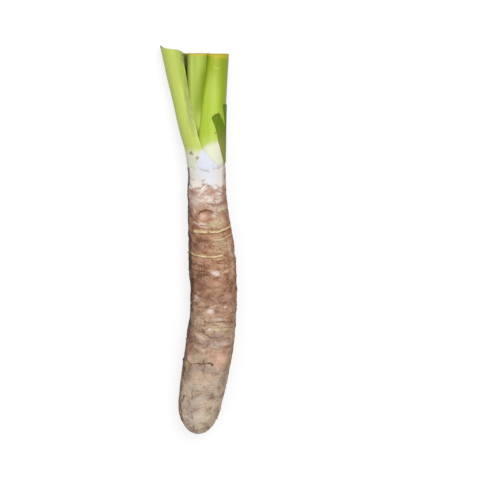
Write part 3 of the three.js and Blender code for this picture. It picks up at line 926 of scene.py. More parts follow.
# A nick in the right stalk, and the middle of the left one's dried point, as (across, station).
NICK = ((6.4, 459.6), (9.5, 457.4), (13.9, 457.2))
DRY_POINT = (-62, 490)
MARGIN_THICKNESS = 1.2  # of a sheath's wall, in mm
FOOT_INSET = 1.1  # a sheath draws in at its foot by so much, to end inside the neck's rim
# How far the outer stalk's paper-thin wing reaches from its margin, as (station, width).
WING = ((355, 6), (362, 9), (373, 14), (390, 11.5), (413, 10), (438, 7.5), (455, 1))


class Stalk:
    """What a stalk's walls share: its stations, its place and how it is cut. facing is 1 for a
    sheath that opens towards +X, and -1 for one that opens the other way."""

    def __init__(self, at, facing, cut, rows):
        self.at, self.facing, self.cut = at, facing, cut
        bend = int(rows * BEND_SHARE)
        self.stations = np.concatenate([
            np.linspace(CROWN - 2.5, STALK_BEND, bend),
            np.linspace(STALK_BEND, TOP_CUT, rows - bend + 1)[1:],
        ])[None, :]

    def place(self, across, depth, stations):
        """Places in root terms, from where they lie across and above the stalk's centre."""
        level, slope, point, drop = self.cut
        height = along(self.at, stations)[1]
        near_top = smooth_step(stations, STALK_BEND, TOP_CUT)
        edge = point * smooth_step(-across, 9, 16) - drop * smooth_step(across, 6, 14)
        stretch = near_top * (level - TOP_CUT + slope * across + CUT_LEAN * depth + edge)
        station = stations + stretch
        leaning = along(self.at, station)[0]
        tilt = 1 - smooth_step(stations, CROWN, STALKS_SQUARE)
        return section_point(station, leaning, height, across, depth, tilt)


class Wall(Surface):
    """One wall of a stalk: its grid of points in root terms, their coordinates as if the stalk
    were straight, and the masks that all stalks have. outer is 0 for the wall of a channel."""

    def __init__(self, stalk, across, depth, straight, outer=1):
        self.grid = stalk.place(across, depth, stalk.stations)
        self.straight, self.outer = straight, outer
        self.across, self.station, height = np.moveaxis(self.grid, -1, 0)
        self.ragged = ripple(straight, 4, 3, seed=24)
        self.masks = {name: np.zeros(height.shape) for name in STALK_MASKS}
        # Painted shade on the walls inside a channel.
        self.mark("dark", 0.25 * (1 - outer))
        above = height - along(stalk.at, stalk.stations)[1]
        self.mark("earthy", outer * (1 - smooth_step(above + 2 * self.ragged, -5, 2)))
        for place, level, radius in DIRT:
            away = np.hypot(self.across - place, self.station - level) / radius
            soil = 1 - smooth_step(away + 1.4 * self.ragged, 0.2, 1.3)
            self.mark("dirt", 0.8 * soil * (above > 0))

    def paint_rim(self, depth):
        """The dried rim below the cut, as deep here as depth says, full at the cut itself."""
        from_cut = self.station[:, -1:] - self.station
        depth = depth * (1 + 0.6 * ripple(self.straight, (1.6, 60, 1.6), 2, seed=29))
        self.masks["rim"] = 1 - smooth_step(from_cut, 0, depth)


def swelling(straight, fibre_depth):
    """Fibres along a stalk and soft swellings of it, in mm."""
    fibres = fibre_depth * ripple(straight, (2.2, 90, 2.2), 2, seed=21)
    return fibres + 0.5 * ripple(straight, (14, 60, 14), 2, seed=22)


def in_between(start, end):
    """CUT_ROWS - 1 rows of values between two rows."""
    share = (np.arange(1, CUT_ROWS) / CUT_ROWS).reshape(-1, *[1] * start.ndim)
    return start + share * (end - start)


def sheath_walls(stalk, fibre_depth, shoulder, droop=0, lip=0):
    """The outer and the inner wall of a sheathing stalk, and its cut face. The walls' first axis
    goes from the upper margin round the back to the lower one. shoulder is how far from a margin
    the wall is rounded off, droop how far the upper margin hangs down, and lip how far the lower
    margin reaches out."""
    stations = stalk.stations
    half_width, ratio, margin, thickness = along(stalk.at, stations)[2:]
    edge = np.stack([0 * stations, stations, 0 * stations], -1)
    margin = np.radians(margin) + 0.7 * ripple(edge, 9, 3, seed=23) / half_width
    # Points are closer together near the margins.
    even = np.linspace(0, 1, SHEATH_COLUMNS)[:, None]
    share = 0.65 * even + 0.35 * (1 - np.cos(np.pi * even)) / 2
    span = 2 * np.pi - 2 * margin
    upper, lower = share * span * half_width, (1 - share) * span * half_width
    angles = margin + span * share
    outer = np.stack([half_width * np.cos(angles), half_width * np.sin(angles)], -1)
    # The channel is an arc through both margins and the floor.
    margin_across = (half_width - MARGIN_THICKNESS) * np.cos(margin)
    margin_depth = (half_width - MARGIN_THICKNESS) * np.sin(margin)
    floor = thickness - half_width
    middle = (margin_across**2 + margin_depth**2 - floor**2) / (2 * (margin_across - floor))
    radius = middle - floor
    channel = np.arctan2(margin_depth, margin_across - middle)
    angles = channel + (2 * np.pi - 2 * channel) * share
    inner = np.stack([middle + radius * np.cos(angles), radius * np.sin(angles)], -1)
    # Near the margins the two walls close on each other in a round edge.
    nearer = np.minimum(upper, lower)
    closing = np.sqrt(1 - (1 - np.clip(nearer / shoulder, 0, 1)) ** 2)[..., None]
    between = (outer + inner) / 2
    fade = np.clip(nearer / 6, 0, 1)
    shift = lip * (1 - smooth_step(lower, 0, 13)) * smooth_step(stations, 385, 425)
    foot = FOOT_INSET * (1 - smooth_step(stations, CROWN, CROWN + 5))
    hanging = smooth_step(stations, 350, 378) * (1 - smooth_step(stations, 435, 462))
    hanging = hanging * droop * (1 - smooth_step(upper, 0, 11))
    walls, ends = [], []
    for section, outwards in ((outer, 1), (inner, -1)):
        section = between + (section - between) * closing
        across = stalk.facing * section[..., 0]
        straight = np.stack(np.broadcast_arrays(across, stations, section[..., 1]), -1)
        out = outwards * fade * swelling(straight, fibre_depth) - (foot if outwards > 0 else 0)
        size = np.maximum(np.linalg.norm(section, axis=-1), 1e-6)
        across = across * (1 + out / size) + stalk.facing * shift
        depth = ratio * section[..., 1] * (1 + out / size) - hanging
        wall = Wall(stalk, across, depth, straight, outer=max(outwards, 0))
        # How far its points are from the upper and from the lower margin.
        wall.upper, wall.lower = upper, lower
        walls.append(wall)
        ends.append(np.stack([across[1:-1, -1], depth[1:-1, -1]], -1))
    across, depth = np.moveaxis(in_between(*ends), -1, 0)
    return *walls, stalk.place(across, depth, stations[:, -1])


def paint_left(wall):
    """The outer stalk: a paper-thin wing along its upper margin, and cream below the soil line."""
    masks, across, station, ragged = wall.masks, wall.across, wall.station, wall.ragged
    streaked = ripple(wall.straight, (2, 30, 2), 2, seed=28)
    masks["blanch"] = 1 - smooth_step(station + 3 * ragged, 347, 360)
    reach = wall.upper / np.interp(station, *zip(*WING)) + 0.15 * streaked
    fullness = 0.3 * smooth_step(station, 348, 364) + 0.7 * smooth_step(station, 368, 398)
    fullness *= 1 - smooth_step(station, 438, 458)
    masks["membrane"] = wall.outer * (1 - smooth_step(reach, 0.5, 1.15)) * fullness
    flecks = smooth_step(ripple(wall.straight, (1.6, 12, 1.6), 2, seed=31), 0.1, 0.4)
    flecks *= (1 - smooth_step(wall.upper, 2.5, 5.5)) * smooth_step(station, 362, 375)
    broad = 1 + 1.8 * (1 - smooth_step(station, 362, 388))
    edge = 1 - smooth_step((wall.upper + 1.5 * streaked) / broad, 0.6, 3)
    edge *= smooth_step(station, 350, 365)
    edge *= 0.9 - 0.7 * smooth_step(station, 385, 410) + 0.7 * smooth_step(station, 434, 446)
    # A lilac white painted highlight on the stalk's foot, widening towards the crown.
    fan = smooth_step(across + 8.8 + 0.23 * (353.9 - station) + ragged, -1, 1.5)
    fan *= (1 - smooth_step(station + 1.5 * ragged, 351, 357)) * (wall.upper < 40)
    masks["papery"] = wall.outer * fan
    yellowing = 0.6 * (1 - smooth_step(station, 375, 395)) * smooth_step(wall.upper, 14, 28)
    masks["pale"] = wall.outer * np.maximum(np.maximum(edge, yellowing), 0.8 * flecks)
    frayed = (1 - smooth_step(wall.upper + 2 * streaked, 1, 5)) * smooth_step(station, 455, 470)
    wall.mark("earthy", 0.8 * frayed)
    # Painted shade near the upper margin towards the cut.
    turning = (1 - smooth_step(wall.upper, 6, 20)) * smooth_step(station, 430, 455)
    masks["deep"] = 0.42 * wall.outer * turning
    # Painted shade on the lower lip, which lies in the slit under the middle stalk.
    wall.mark("dark", 1 - smooth_step(wall.lower, 9, 16))
    place, level = DRY_POINT
    masks["dry"] = 1 - smooth_step(np.hypot(across - place, station - level), 3.4, 8)
    masks["fray"] = (1 - smooth_step(wall.upper, 1.5, 4)) * smooth_step(station, 452, 472)
    wall.paint_rim(0.5)


def paint_right(wall):
    """The right stalk: saturated green, painted shade on its right and by the groove, cream at its
    foot.
    """
    masks, across, station, ragged = wall.masks, wall.across, wall.station, wall.ragged
    above_soil = station - (359.6 + 0.36 * (across + 5) + 1.5 * ragged)
    masks["blanch"] = 1 - smooth_step(above_soil, -5, 4)
    masks["ripe"] = wall.outer * smooth_step(station, 422, 466)
    # Painted shade on the right side and along the groove.
    shade = smooth_step(across, 9, 20) * smooth_step(station, 375, 415)
    near_groove = (1 - smooth_step(wall.upper, 0, 8.5)) * smooth_step(station, 385, 410)
    near_groove *= 0.65 + 0.35 * smooth_step(station, 448, 465)
    masks["deep"] = np.maximum(0.75 * shade, near_groove)
    # A painted highlight to the left of the stalk's middle.
    light = 0.3 * hump(across, 5.5, 5) * smooth_step(station, 385, 430)
    light *= 1 - smooth_step(station, 440, 460)

    def leg(start, end):
        """What nearest_on asks for, on the flat of (across, station)."""
        (x, y), (next_x, next_y) = start, end
        return across - x, station - y, next_x - x, next_y - y

    nick = 1 - smooth_step(nearest_on(NICK, leg) + 0.4 * ragged, 0.4, 1.1)
    fading = 0.6 * (1 - smooth_step(above_soil, -2, 18))
    masks["pale"] = wall.outer * np.maximum(np.maximum(light, fading), 0.5 * nick)
    wall.paint_rim(3 + 5 * smooth_step(across, 0, 9))


def paint_middle(wall):
    """The young stalk: a painted highlight stripe, with painted shade in the groove and slit beside
    it.
    """
    masks, across, station = wall.masks, wall.across, wall.station
    masks["blanch"] = 1 - smooth_step(station + 2 * wall.ragged, 355, 364)
    groove, slit = (across - np.interp(station, *zip(*line)) for line in (GROOVE, SLIT))
    # Painted shade in the groove.
    masks["deep"] = smooth_step(groove, -10, 0) * smooth_step(station, 388, 412)
    masks["deep"] *= 1 - 0.5 * smooth_step(station, 448, 465)
    # Painted shade in the slit.
    in_slit = (1 - smooth_step(slit, -1.5, 1.5)) * smooth_step(station, 415, 435)
    wall.mark("dark", 0.15 * in_slit)
    # A painted highlight stripe.
    stripe = 0.75 * hump(across, -20.3, 2.2) * smooth_step(station, 385, 420)
    masks["pale"] = np.maximum(stripe, 0.3 * (1 - smooth_step(station, 380, 420)))
    wall.paint_rim(3.2 + 3.6 * hump(across, -9.5, 5))


def sheath_faces(around, rows):
    """Faces of a closed sheath in the order of sheath_values, and where its cut begins."""
    outside = np.arange(around * rows).reshape(around, rows)
    inside = outside.copy()
    inside[1:-1] = around * rows + np.arange((around - 2) * rows).reshape(around - 2, rows)
    first_cut = inside.max() + 1
    cut = first_cut + np.arange((CUT_ROWS - 1) * (around - 2)).reshape(CUT_ROWS - 1, around - 2)
    faces = []

    def add_quads(grid, flip):
        a, b, c, d = grid[:-1, :-1], grid[1:, :-1], grid[1:, 1:], grid[:-1, 1:]
        faces.extend(quads((a, b, c, d) if flip else (a, d, c, b)))

    add_quads(outside, False)
    add_quads(inside, True)
    for row, between, flip in ((0, [], False), (rows - 1, [*cut], True)):
        strips = [outside[1:-1, row], *between, inside[1:-1, row]]
        add_quads(np.stack(strips), flip)
        for end, near in ((0, 0), (around - 1, -1)):
            for strip, after in zip(strips, strips[1:]):
                triangle = [int(outside[end, row]), int(strip[near]), int(after[near])]
                faces.append(triangle[::-1] if (end == 0) == flip else triangle)
    return faces, first_cut


def sheath_values(outer, inner, cut=None):
    """Values on the walls and the cut as one list. The walls share their margins, which are given
    once. Without values of its own, the cut takes those in between."""
    if cut is None:
        cut = in_between(outer[1:-1, -1], inner[1:-1, -1])
    shape = (-1, *outer.shape[2:])
    return np.concatenate([outer.reshape(shape), inner[1:-1].reshape(shape), cut.reshape(shape)])


def grow_sheath(name, stalk, material, paint, fibre_depth, **shape):
    outer, inner, cut = sheath_walls(stalk, fibre_depth, **shape)
    paint(outer)
    paint(inner)
    faces, first_cut = sheath_faces(*outer.station.shape)
    if stalk.facing < 0:
        faces = [face[::-1] for face in faces]
    attributes = {key: sheath_values(outer.masks[key], inner.masks[key]) for key in outer.masks}
    attributes["cut"][first_cut:] = 1
    attributes["straight"] = sheath_values(outer.straight, inner.straight)
    points = above_surface(sheath_values(outer.grid, inner.grid, cut))
    return add_mesh(name, points, faces, attributes, material)


def grow_rod(name, stalk, material, paint, fibre_depth):
    """The young middle stalk, a rod with a closed foot and rings of points over its cut."""
    half_width, ratio = along(stalk.at, stalk.stations)[2:]
    angles = np.linspace(0, 2 * np.pi, ROD_COLUMNS, endpoint=False)[:, None]
    across, depth = half_width * np.sin(angles), half_width * np.cos(angles)
    straight = np.stack(np.broadcast_arrays(across, stalk.stations, depth), -1)
    swell = 1 + swelling(straight, fibre_depth) / half_width
    wall = Wall(stalk, across * swell, depth * swell * ratio, straight)
    paint(wall)

    def with_cut(values):
        """Values on the rod, then on the rings over its cut, its hub and its foot."""
        last = values[:, -1:]
        hub = last.mean(0, keepdims=True)
        share = (np.arange(1, ROD_RINGS) / ROD_RINGS).reshape(1, -1, *[1] * (values.ndim - 2))
        face = np.moveaxis(last + share * (hub - last), 1, 0)
        shape = (-1, *values.shape[2:])
        foot = values[:, :1].mean(0, keepdims=True)
        return np.concatenate([part.reshape(shape) for part in (values, face, hub, foot)])

    around, rows = wall.station.shape
    first = around * rows
    hub, foot = first + around * (ROD_RINGS - 1), first + around * (ROD_RINGS - 1) + 1
    faces = tube_faces(around, rows)
    for column in range(around):
        beside = (column + 1) % around
        here = [column * rows + rows - 1, *range(first + column, hub, around)]
        there = [beside * rows + rows - 1, *range(first + beside, hub, around)]
        faces += [list(corners) for corners in zip(there, there[1:], here[1:], here)]
        faces += [[there[-1], hub, here[-1]], [foot, beside * rows, column * rows]]
    attributes = {key: with_cut(values) for key, values in wall.masks.items()}
    attributes["cut"][first : hub + 1] = 1
    attributes["straight"] = with_cut(straight)
    return add_mesh(name, with_cut(wall.grid), faces, attributes, material)


def stalk_material(name, green, light_green, colours):
    """Fresh leaf stalk, cut with a knife and rinsed: smooth, waxy and slightly see-through, with
    fine fibres along it. It fades from green to cream where it was under the soil."""
    material, tree = new_material(name)
    noises = {"fibre": (0.9, 60, 0.0), "vein": (2.6, 120, 0.0), "drift": (9, 40, 0.0)}
    fields = surface_fields(tree, STALK_MASKS, noises)
    base = mixed(tree, ranged(tree, fields["drift"], 0.35, 0.75, 0.0, 0.6), green, light_green)
    # A cut stalk is a sponge of air channels about 1.3 mm apart, each one a darker pit.
    section = scaled_place(tree, fields["straight"], (1 / 1.3, 0.0, 1 / 1.3))
    cells = add_node(tree, "ShaderNodeTexVoronoi", {"Vector": section, "Scale": 1.0})
    pit = ranged(tree, cells.outputs["Distance"], 0.42, 0.2)
    fields["pore"] = worked_out(tree, "MULTIPLY", pit, fields["cut"])
    layers = (
        ("ripe", 0.95, colours.ripe_green),
        ("fibre", 0.42, 0.7, 0.12, colours.pale_and_highlight_green),
        ("vein", 0.5, 0.32, 0.14, colours.vein_and_shade_green),
        # Painted shade in grooves and on shaded flanks.
        ("deep", 0.9, colours.vein_and_shade_green),
        # Painted shade in the hollows inside the sheaths and in the slits.
        ("dark", 0.9, colours.hollow_shade_green),
        ("membrane", 0.85, colours.membrane),
        # Pale stripes and scars, and painted highlights.
        ("pale", 0.75, colours.pale_and_highlight_green),
        ("blanch", 1.0, colours.cream),
        # Painted highlight: lilac white glare on the outer stalk's foot.
        ("papery", 0.9, colours.papery),
        ("earthy", 0.5, colours.earth),
        ("rim", 0.0, 0.7, 0.75, colours.rim_yellow),
        ("rim", 0.7, 1.0, 0.5, colours.rim_brown),
        ("dry", 0.9, colours.dry_point),
        ("dirt", 0.85, colours.earth),
        ("cut", 1.0, colours.cut_face),
        ("pore", 0.8, green),
    )
    matt = worked_out(tree, "MAXIMUM", fields["papery"], fields["cut"])
    sunk = worked_out(tree, "SUBTRACT", fields["fibre"], fields["pore"])
    finish_material(tree, sunk, strength=0.35, depth=0.3, shading={
        "Base Color": laid_over(tree, base, fields, layers),
        "Roughness": ranged(tree, matt, 0.0, 1.0, 0.4, 0.75),
        "IOR": 1.4,
        "Specular IOR Level": 0.25,
        "Subsurface Weight": 0.1,
        "Subsurface Radius": (3 * MM, 4 * MM, 1.5 * MM),
        "Subsurface Scale": 1.0,
    })
    return material


class StalkSettings(bpy.types.PropertyGroup):
    fibre_depth: length("Fibre depth", "Height of the fibres along a stalk", 0.1)
    outer_green: colour("Outer green", "Outer, left stalk", "#c0cd63")
    outer_light: colour("Outer light", "Lighter drifts on the outer stalk", "#c6d26a")
    inner_green: colour("Inner green", "Right stalk", "#a9c33a")
    inner_light: colour("Inner light", "Lighter drifts on the right stalk", "#bbd24c")
    young_green: colour("Young green", "Middle stalk", "#a5ba48")
    young_light: colour("Young light", "Lighter drifts on the middle stalk", "#b3c558")
    ripe_green: colour("Ripe green", "Olive green towards the cut", "#9eaf24")
    # Pale stripes, scars and fibres, and also painted highlight stripes.
    pale_and_highlight_green: colour("Pale green", "Light stripes and scars", "#cdd67c")
    # Painted shade in grooves and on flanks, and the darker veins.
    vein_and_shade_green: colour("Deep green", "Grooves and shaded flanks", "#7f961a")
    # Painted shade in the hollows and slits.
    hollow_shade_green: colour("Dark green", "Hollows inside the sheaths", "#626920")
    cream: colour("Cream", "Blanched feet", "#dfe0c6")
    membrane: colour("Membrane", "Papery wing of the outer stalk", "#a3ac62")
    # Painted highlight: lilac white glare on the outer stalk's foot.
    papery: colour("Papery", "Dry white margins", "#d8dcec")
    earth: colour("Earth", "Dirt left on the stalks", "#6b5f3e")
    rim_yellow: colour("Rim yellow", "Below a knife cut", "#cdb62f")
    rim_brown: colour("Rim brown", "Edge of a knife cut", "#a8762f")
    dry_point: colour("Dry point", "Dried point of the outer stalk", "#4d5360")
    cut_face: colour("Cut face", "Spongy cut end", "#dde2b4")


class TARO_OT_grow_stalks(bpy.types.Operator):
    """Grow the three leaf stalks: two sheathing ones and the young one between them"""

    bl_idname = "taro.grow_stalks"
    bl_label = "Grow Leaf Stalks"

    def execute(self, context):
        settings = context.scene.taro_stalks
        left = Stalk(LEFT_KEYS, facing=1, cut=LEFT_CUT, rows=200)
        right = Stalk(RIGHT_KEYS, facing=-1, cut=RIGHT_CUT, rows=200)
        middle = Stalk(MIDDLE_KEYS, facing=1, cut=RIGHT_CUT, rows=150)
        left_shape = {"shoulder": 1, "droop": 4, "lip": 9}
        kinds = (
            ("outer", "left_leaf_stalk", left, grow_sheath, paint_left, left_shape),
            ("inner", "right_leaf_stalk", right, grow_sheath, paint_right, {"shoulder": 3}),
            ("young", "middle_leaf_stalk", middle, grow_rod, paint_middle, {}),
        )
        for kind, node, stalk, grow, paint, shape in kinds:
            green, light = (getattr(settings, f"{kind}_{tone}") for tone in ("green", "light"))
            material = stalk_material(f"fresh_{kind}_leaf_stalk", green, light, settings)
            fibre_depth = settings.fibre_depth / MM
            piece = grow(f"{kind}_stalk", stalk, material, paint, fibre_depth, **shape)
            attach(piece, "root")
            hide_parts(node)
        return {"FINISHED"}


# -------------------------------------------------------------------------- the dark strip of painted shadow

# Edges of the strip's two lobes on the right stalk, from the crown to the torn top, as (station,
# angle in degrees). The lobes are one sheet up to the notch, where their near edges part.
NOTCH = 379
INNER_EDGE = ((339.5, 66), (354, 47), (364, 35), (NOTCH, 22), (397, 2))
SHARED_EDGE = ((339.5, 76), (354, 75.6), (364, 75.3), (NOTCH, 75))
OUTER_EDGE = ((341, 101), (355, 102), (365, 102), (380, 102), (413.2, 99))
LOBES = (
    (INNER_EDGE, (*SHARED_EDGE, (402.5, 33))),
    ((*SHARED_EDGE, (413.8, 50)), OUTER_EDGE),
)
NOTCH_SHARE = 0.7  # the notch lies at this share of a lobe's length
LOBE_COLUMNS, ROWS_BELOW, ROWS_ABOVE = 26, 40, 34  # points across a lobe, below and above NOTCH


def sheath_lobe(edges):
    """One lobe as a grid of (station, angle), its first axis across the lobe."""
    knots = (0, 0.25, 0.45, NOTCH_SHARE, 1)
    below = np.linspace(0, NOTCH_SHARE, ROWS_BELOW, endpoint=False)
    rows = np.concatenate([below, np.linspace(NOTCH_SHARE, 1, ROWS_ABOVE)])
    near, far = (
        np.stack([np.interp(rows, knots, column) for column in zip(*edge)], -1) for edge in edges
    )
    share = np.linspace(0, 1, LOBE_COLUMNS)[:, None, None]
    lobe = near + share * (far - near)
    # The torn top is rounded at both corners.
    lobe[..., 0] -= 2.4 * smooth_step(rows, 0.8, 1) * np.abs(2 * share[..., 0] - 1) ** 4
    return lobe


def shadow_sheet_material(colours):
    """Painted shadow: a dark sheet made as old leaf sheath, torn and limp, where a shadow falls on
    the right stalk. It is darker and duller than the fresh stalks, with coarse veins along it,
    dark green above and olive brown towards its foot."""
    material, tree = new_material("torn_old_leaf_sheath")
    noises = {"vein": (1.4, 50, 0.0), "blotch": (4, 7, 0.0), "fleck": (0.9, 1.6, 0.0)}
    fields = surface_fields(tree, ("foot", "torn"), noises)
    layers = (
        ("blotch", 0.5, 0.7, 0.5, colours.shadow_sheet_light),
        ("foot", 0.85, colours.shadow_sheet_foot),
        ("vein", 0.5, 0.7, 0.35, colours.shadow_sheet_light),
        ("vein", 0.45, 0.3, 0.4, colours.shadow_sheet_edge),
        ("fleck", 0.36, 0.26, 0.7, colours.shadow_sheet_edge),
        ("torn", 0.45, colours.shadow_sheet_edge),
    )
    finish_material(tree, fields["vein"], strength=0.5, depth=0.3, shading={
        "Base Color": laid_over(tree, colours.shadow_sheet_green, fields, layers),
        "Roughness": 0.6,
        "IOR": 1.4,
        "Specular IOR Level": 0.2,
    })
    return material


# The dark sheet of painted shadow: its size and colours.
class ShadowSheetSettings(bpy.types.PropertyGroup):
    thickness: length("Thickness", "Thickness of the old sheath", 0.5)
    clearance: length("Clearance", "Air between the old sheath and the stalk", 0.1)
    shadow_sheet_green: colour("Sheath green", "Upper part of the lobes", "#5f7a0a")
    shadow_sheet_light: colour("Sheath light", "Lighter veins and blotches", "#7c9226")
    # Olive brown towards the foot of the painted shadow.
    shadow_sheet_foot: colour("Sheath foot", "Drying foot", "#918f48")
    shadow_sheet_edge: colour("Sheath edge", "Torn edges and dark flecks", "#4b5520")


def lobe_points(edges, fibre_depth, clearance):
    """A lobe's points on the right stalk, and their attributes."""
    station, angle = np.moveaxis(sheath_lobe(edges), -1, 0)
    angle = np.radians(angle)
    centre, height, half_width, ratio = along(RIGHT_KEYS, station)[:4]
    straight = np.stack([half_width * np.sin(angle), station, half_width * np.cos(angle)], -1)
    ragged = ripple(straight, 3, 3, seed=41)
    radius = half_width + swelling(straight, fibre_depth) + clearance
    radius = radius + 0.15 * (1 + ripple(straight, (5, 40, 5), 2, seed=42))
    across, depth = radius * np.sin(angle), radius * ratio * np.cos(angle)
    frayed = station + 0.8 * smooth_step(station, NOTCH, 400) * ragged
    tilt = 1 - smooth_step(station, CROWN, STALKS_SQUARE)
    points = section_point(frayed, centre, height, across, depth, tilt)
    return points, {
        "straight": straight,
        "foot": 1 - smooth_step(station + 4 * ragged, 354, 390),
        "torn": 1 - smooth_step(station[:, -1:] - station + ragged, 0.2, 2),
    }


class TARO_OT_grow_shadow_sheet(bpy.types.Operator):
    """Grow the dark strip with two lobes on the right stalk: painted shadow, made as torn old sheath
    """

    bl_idname = "taro.grow_old_sheath"
    bl_label = "Grow Old Sheath"

    def execute(self, context):
        settings = context.scene.taro_sheath
        sizes = (context.scene.taro_stalks.fibre_depth / MM, settings.clearance / MM)
        grids, values = zip(*(lobe_points(edges, *sizes) for edges in LOBES))
        index = np.arange(sum(grid[..., 0].size for grid in grids))
        faces = []
        for lobe in index.reshape(len(LOBES), *grids[0].shape[:2]):
            faces += quads((lobe[:-1, :-1], lobe[1:, :-1], lobe[1:, 1:], lobe[:-1, 1:]))
        attributes = {
            name: np.stack([lobe[name] for lobe in values]).reshape(len(index), -1).squeeze()
            for name in values[0]
        }
        points = np.stack(grids).reshape(-1, 3)
        sheet = add_mesh("old_sheath", points, faces, attributes, shadow_sheet_material(settings))
        thicken(sheet, settings.thickness)
        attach(sheet, "root")
        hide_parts("old_sheath_strip")
        return {"FINISHED"}


def thicken(sheet, thickness):
    """Joins a sheet's doubled points and gives it a wall that stands outwards."""
    graph = bmesh.new()
    graph.from_mesh(sheet.data)
    bmesh.ops.remove_doubles(graph, verts=graph.verts, dist=0.02 * MM)
    graph.to_mesh(sheet.data)
    graph.free()
    wall = sheet.modifiers.new("wall", "SOLIDIFY")
    wall.thickness = thickness
    wall.offset = 1
    plain_mesh(sheet)


def plain_mesh(piece):
    """Bakes a piece's modifiers into a plain mesh and takes them off."""
    evaluated = piece.evaluated_get(bpy.context.evaluated_depsgraph_get())
    mesh = bpy.data.meshes.new_from_object(evaluated)
    piece.modifiers.clear()
    piece.data = mesh
    mesh.name = piece.name


# -------------------------------------------------------------------- rootlets, fibres and soil


def density(name, description, default):
    return FloatProperty(name=name, description=f"{description} per square metre", default=default)


class DebrisSettings(bpy.types.PropertyGroup):
    stub_length: length("Stub length", "Length of a broken rootlet", 1.6)
    stub_width: length("Stub width", "Radius of a broken rootlet at its foot", 0.5)
    stub_density: density("Stubs", "Broken rootlets", 11000)
    hair_length: length("Hair length", "Length of a fine dry rootlet", 7)
    hair_width: length("Hair width", "Radius of a fine dry rootlet", 0.14)
    hair_density: density("Hairs", "Fine dry rootlets", 1500)
    fibre_length: length("Fibre length", "Length of a frayed fibre", 6)
    fibre_width: length("Fibre width", "Radius of a frayed fibre", 0.2)
    fibre_density: density("Fibres", "Frayed fibres", 150000)
    crumb_width: length("Crumb size", "Radius of a crumb of soil", 0.45)
    crumb_density: density("Crumbs", "Crumbs of soil", 90000)
    stub_colour: colour("Rootlet", "Broken rootlets", "#6a4c3a")
    hair_colour: colour("Hair", "Fine dry rootlets", "#c9ad94")
    fibre_colour: colour("Fibre", "Frayed fibres of the margin", "#bdb78c")
    crumb_colour: colour("Soil", "Crumbs of soil", "#4a3a2a")


def fibrous_material(name, tint, size):
    """Dried plant fibre, matt and streaked, darker in patches of the given size in mm."""
    material, tree = new_material(name)
    place = add_node(tree, "ShaderNodeTexCoord").outputs["Object"]
    inputs = {"Vector": place, "Scale": 1 / (size * MM), "Detail": 3.0}
    patches = add_node(tree, "ShaderNodeTexNoise", inputs).outputs["Fac"]
    darker = (*[0.45 * channel for channel in tint[:3]], 1.0)
    finish_material(tree, patches, strength=0.4, depth=0.2, shading={
        "Base Color": mixed(tree, ranged(tree, patches, 0.35, 0.65), darker, tint),
        "Roughness": 0.85,
        "IOR": 1.45,
        "Specular IOR Level": 0.3,
    })
    return material


def scatter_tree(name, mask, shape, turn):
    """A tree that scatters a shape over a mesh, as densely as its mask and the input say. turn is
    the largest random turn about each of the shape's own axes, in radians."""
    tree = bpy.data.node_groups.new(name, "GeometryNodeTree")
    for label, kind in (
        ("Geometry", "Geometry"), ("Density", "Float"), ("Length", "Float"), ("Width", "Float"),
        ("Seed", "Int"), ("Material", "Material"),
    ):
        tree.interface.new_socket(label, in_out="INPUT", socket_type=f"NodeSocket{kind}")
    tree.interface.new_socket("Geometry", in_out="OUTPUT", socket_type="NodeSocketGeometry")
    given = add_node(tree, "NodeGroupInput").outputs
    named = add_node(tree, "GeometryNodeInputNamedAttribute", {"Name": mask}, data_type="FLOAT")
    dense = worked_out(tree, "MULTIPLY", named.outputs[0], given["Density"])
    spread = {"Mesh": given["Geometry"], "Density": dense, "Seed": given["Seed"]}
    points = add_node(tree, "GeometryNodeDistributePointsOnFaces", spread).outputs
    twist = {"Min": [-angle for angle in turn], "Max": turn, "Seed": given["Seed"]}
    twist = add_node(tree, "FunctionNodeRandomValue", twist, data_type="FLOAT_VECTOR").outputs[0]
    turning = {"Rotation": points["Rotation"], "Rotate By": twist}
    turned = add_node(tree, "FunctionNodeRotateRotation", turning, rotation_space="LOCAL")
    # Each one is scaled by 0.5 to 1.3.
    sizes = {2: 0.5, 3: 1.3, "Seed": given["Seed"]}
    size = add_node(tree, "FunctionNodeRandomValue", sizes, data_type="FLOAT").outputs[1]
    placing = {
        "Points": points["Points"],
        "Instance": shape(tree, given["Length"], given["Width"]),
        "Rotation": turned.outputs[0],
        "Scale": size,
    }
    placed = add_node(tree, "GeometryNodeInstanceOnPoints", placing).outputs[0]
    real = add_node(tree, "GeometryNodeRealizeInstances", {"Geometry": placed}).outputs[0]
    finish = {"Geometry": real, "Material": given["Material"]}
    done = add_node(tree, "GeometryNodeSetMaterial", finish).outputs[0]
    add_node(tree, "NodeGroupOutput", {"Geometry": done})
    return tree


def stub_shape(tree, long, wide):
    """A short blunt cone with its foot in the skin."""
    sides = {"Vertices": 7, "Side Segments": 2, "Radius Bottom": wide, "Depth": long}
    sides["Radius Top"] = worked_out(tree, "MULTIPLY", wide, 0.6)
    return add_node(tree, "GeometryNodeMeshCone", sides).outputs["Mesh"]


def hair_shape(tree, long, wide):
    """A thin bent hair that lies along the skin."""
    ends = []
    for x, y in ((-0.5, 0.0), (0.05, 0.28), (0.5, -0.12)):
        offset = add_node(tree, "ShaderNodeCombineXYZ", {0: x, 1: y}).outputs[0]
        scaled = {0: offset, "Scale": long}
        ends.append(add_node(tree, "ShaderNodeVectorMath", scaled, operation="SCALE").outputs[0])
    bend = {"Resolution": 8, "Start": ends[0], "Middle": ends[1], "End": ends[2]}
    line = add_node(tree, "GeometryNodeCurveQuadraticBezier", bend).outputs[0]
    ring = add_node(tree, "GeometryNodeCurvePrimitiveCircle", {"Resolution": 4, "Radius": wide})
    tube = {"Curve": line, "Profile Curve": ring.outputs[0], "Fill Caps": True}
    return add_node(tree, "GeometryNodeCurveToMesh", tube).outputs[0]


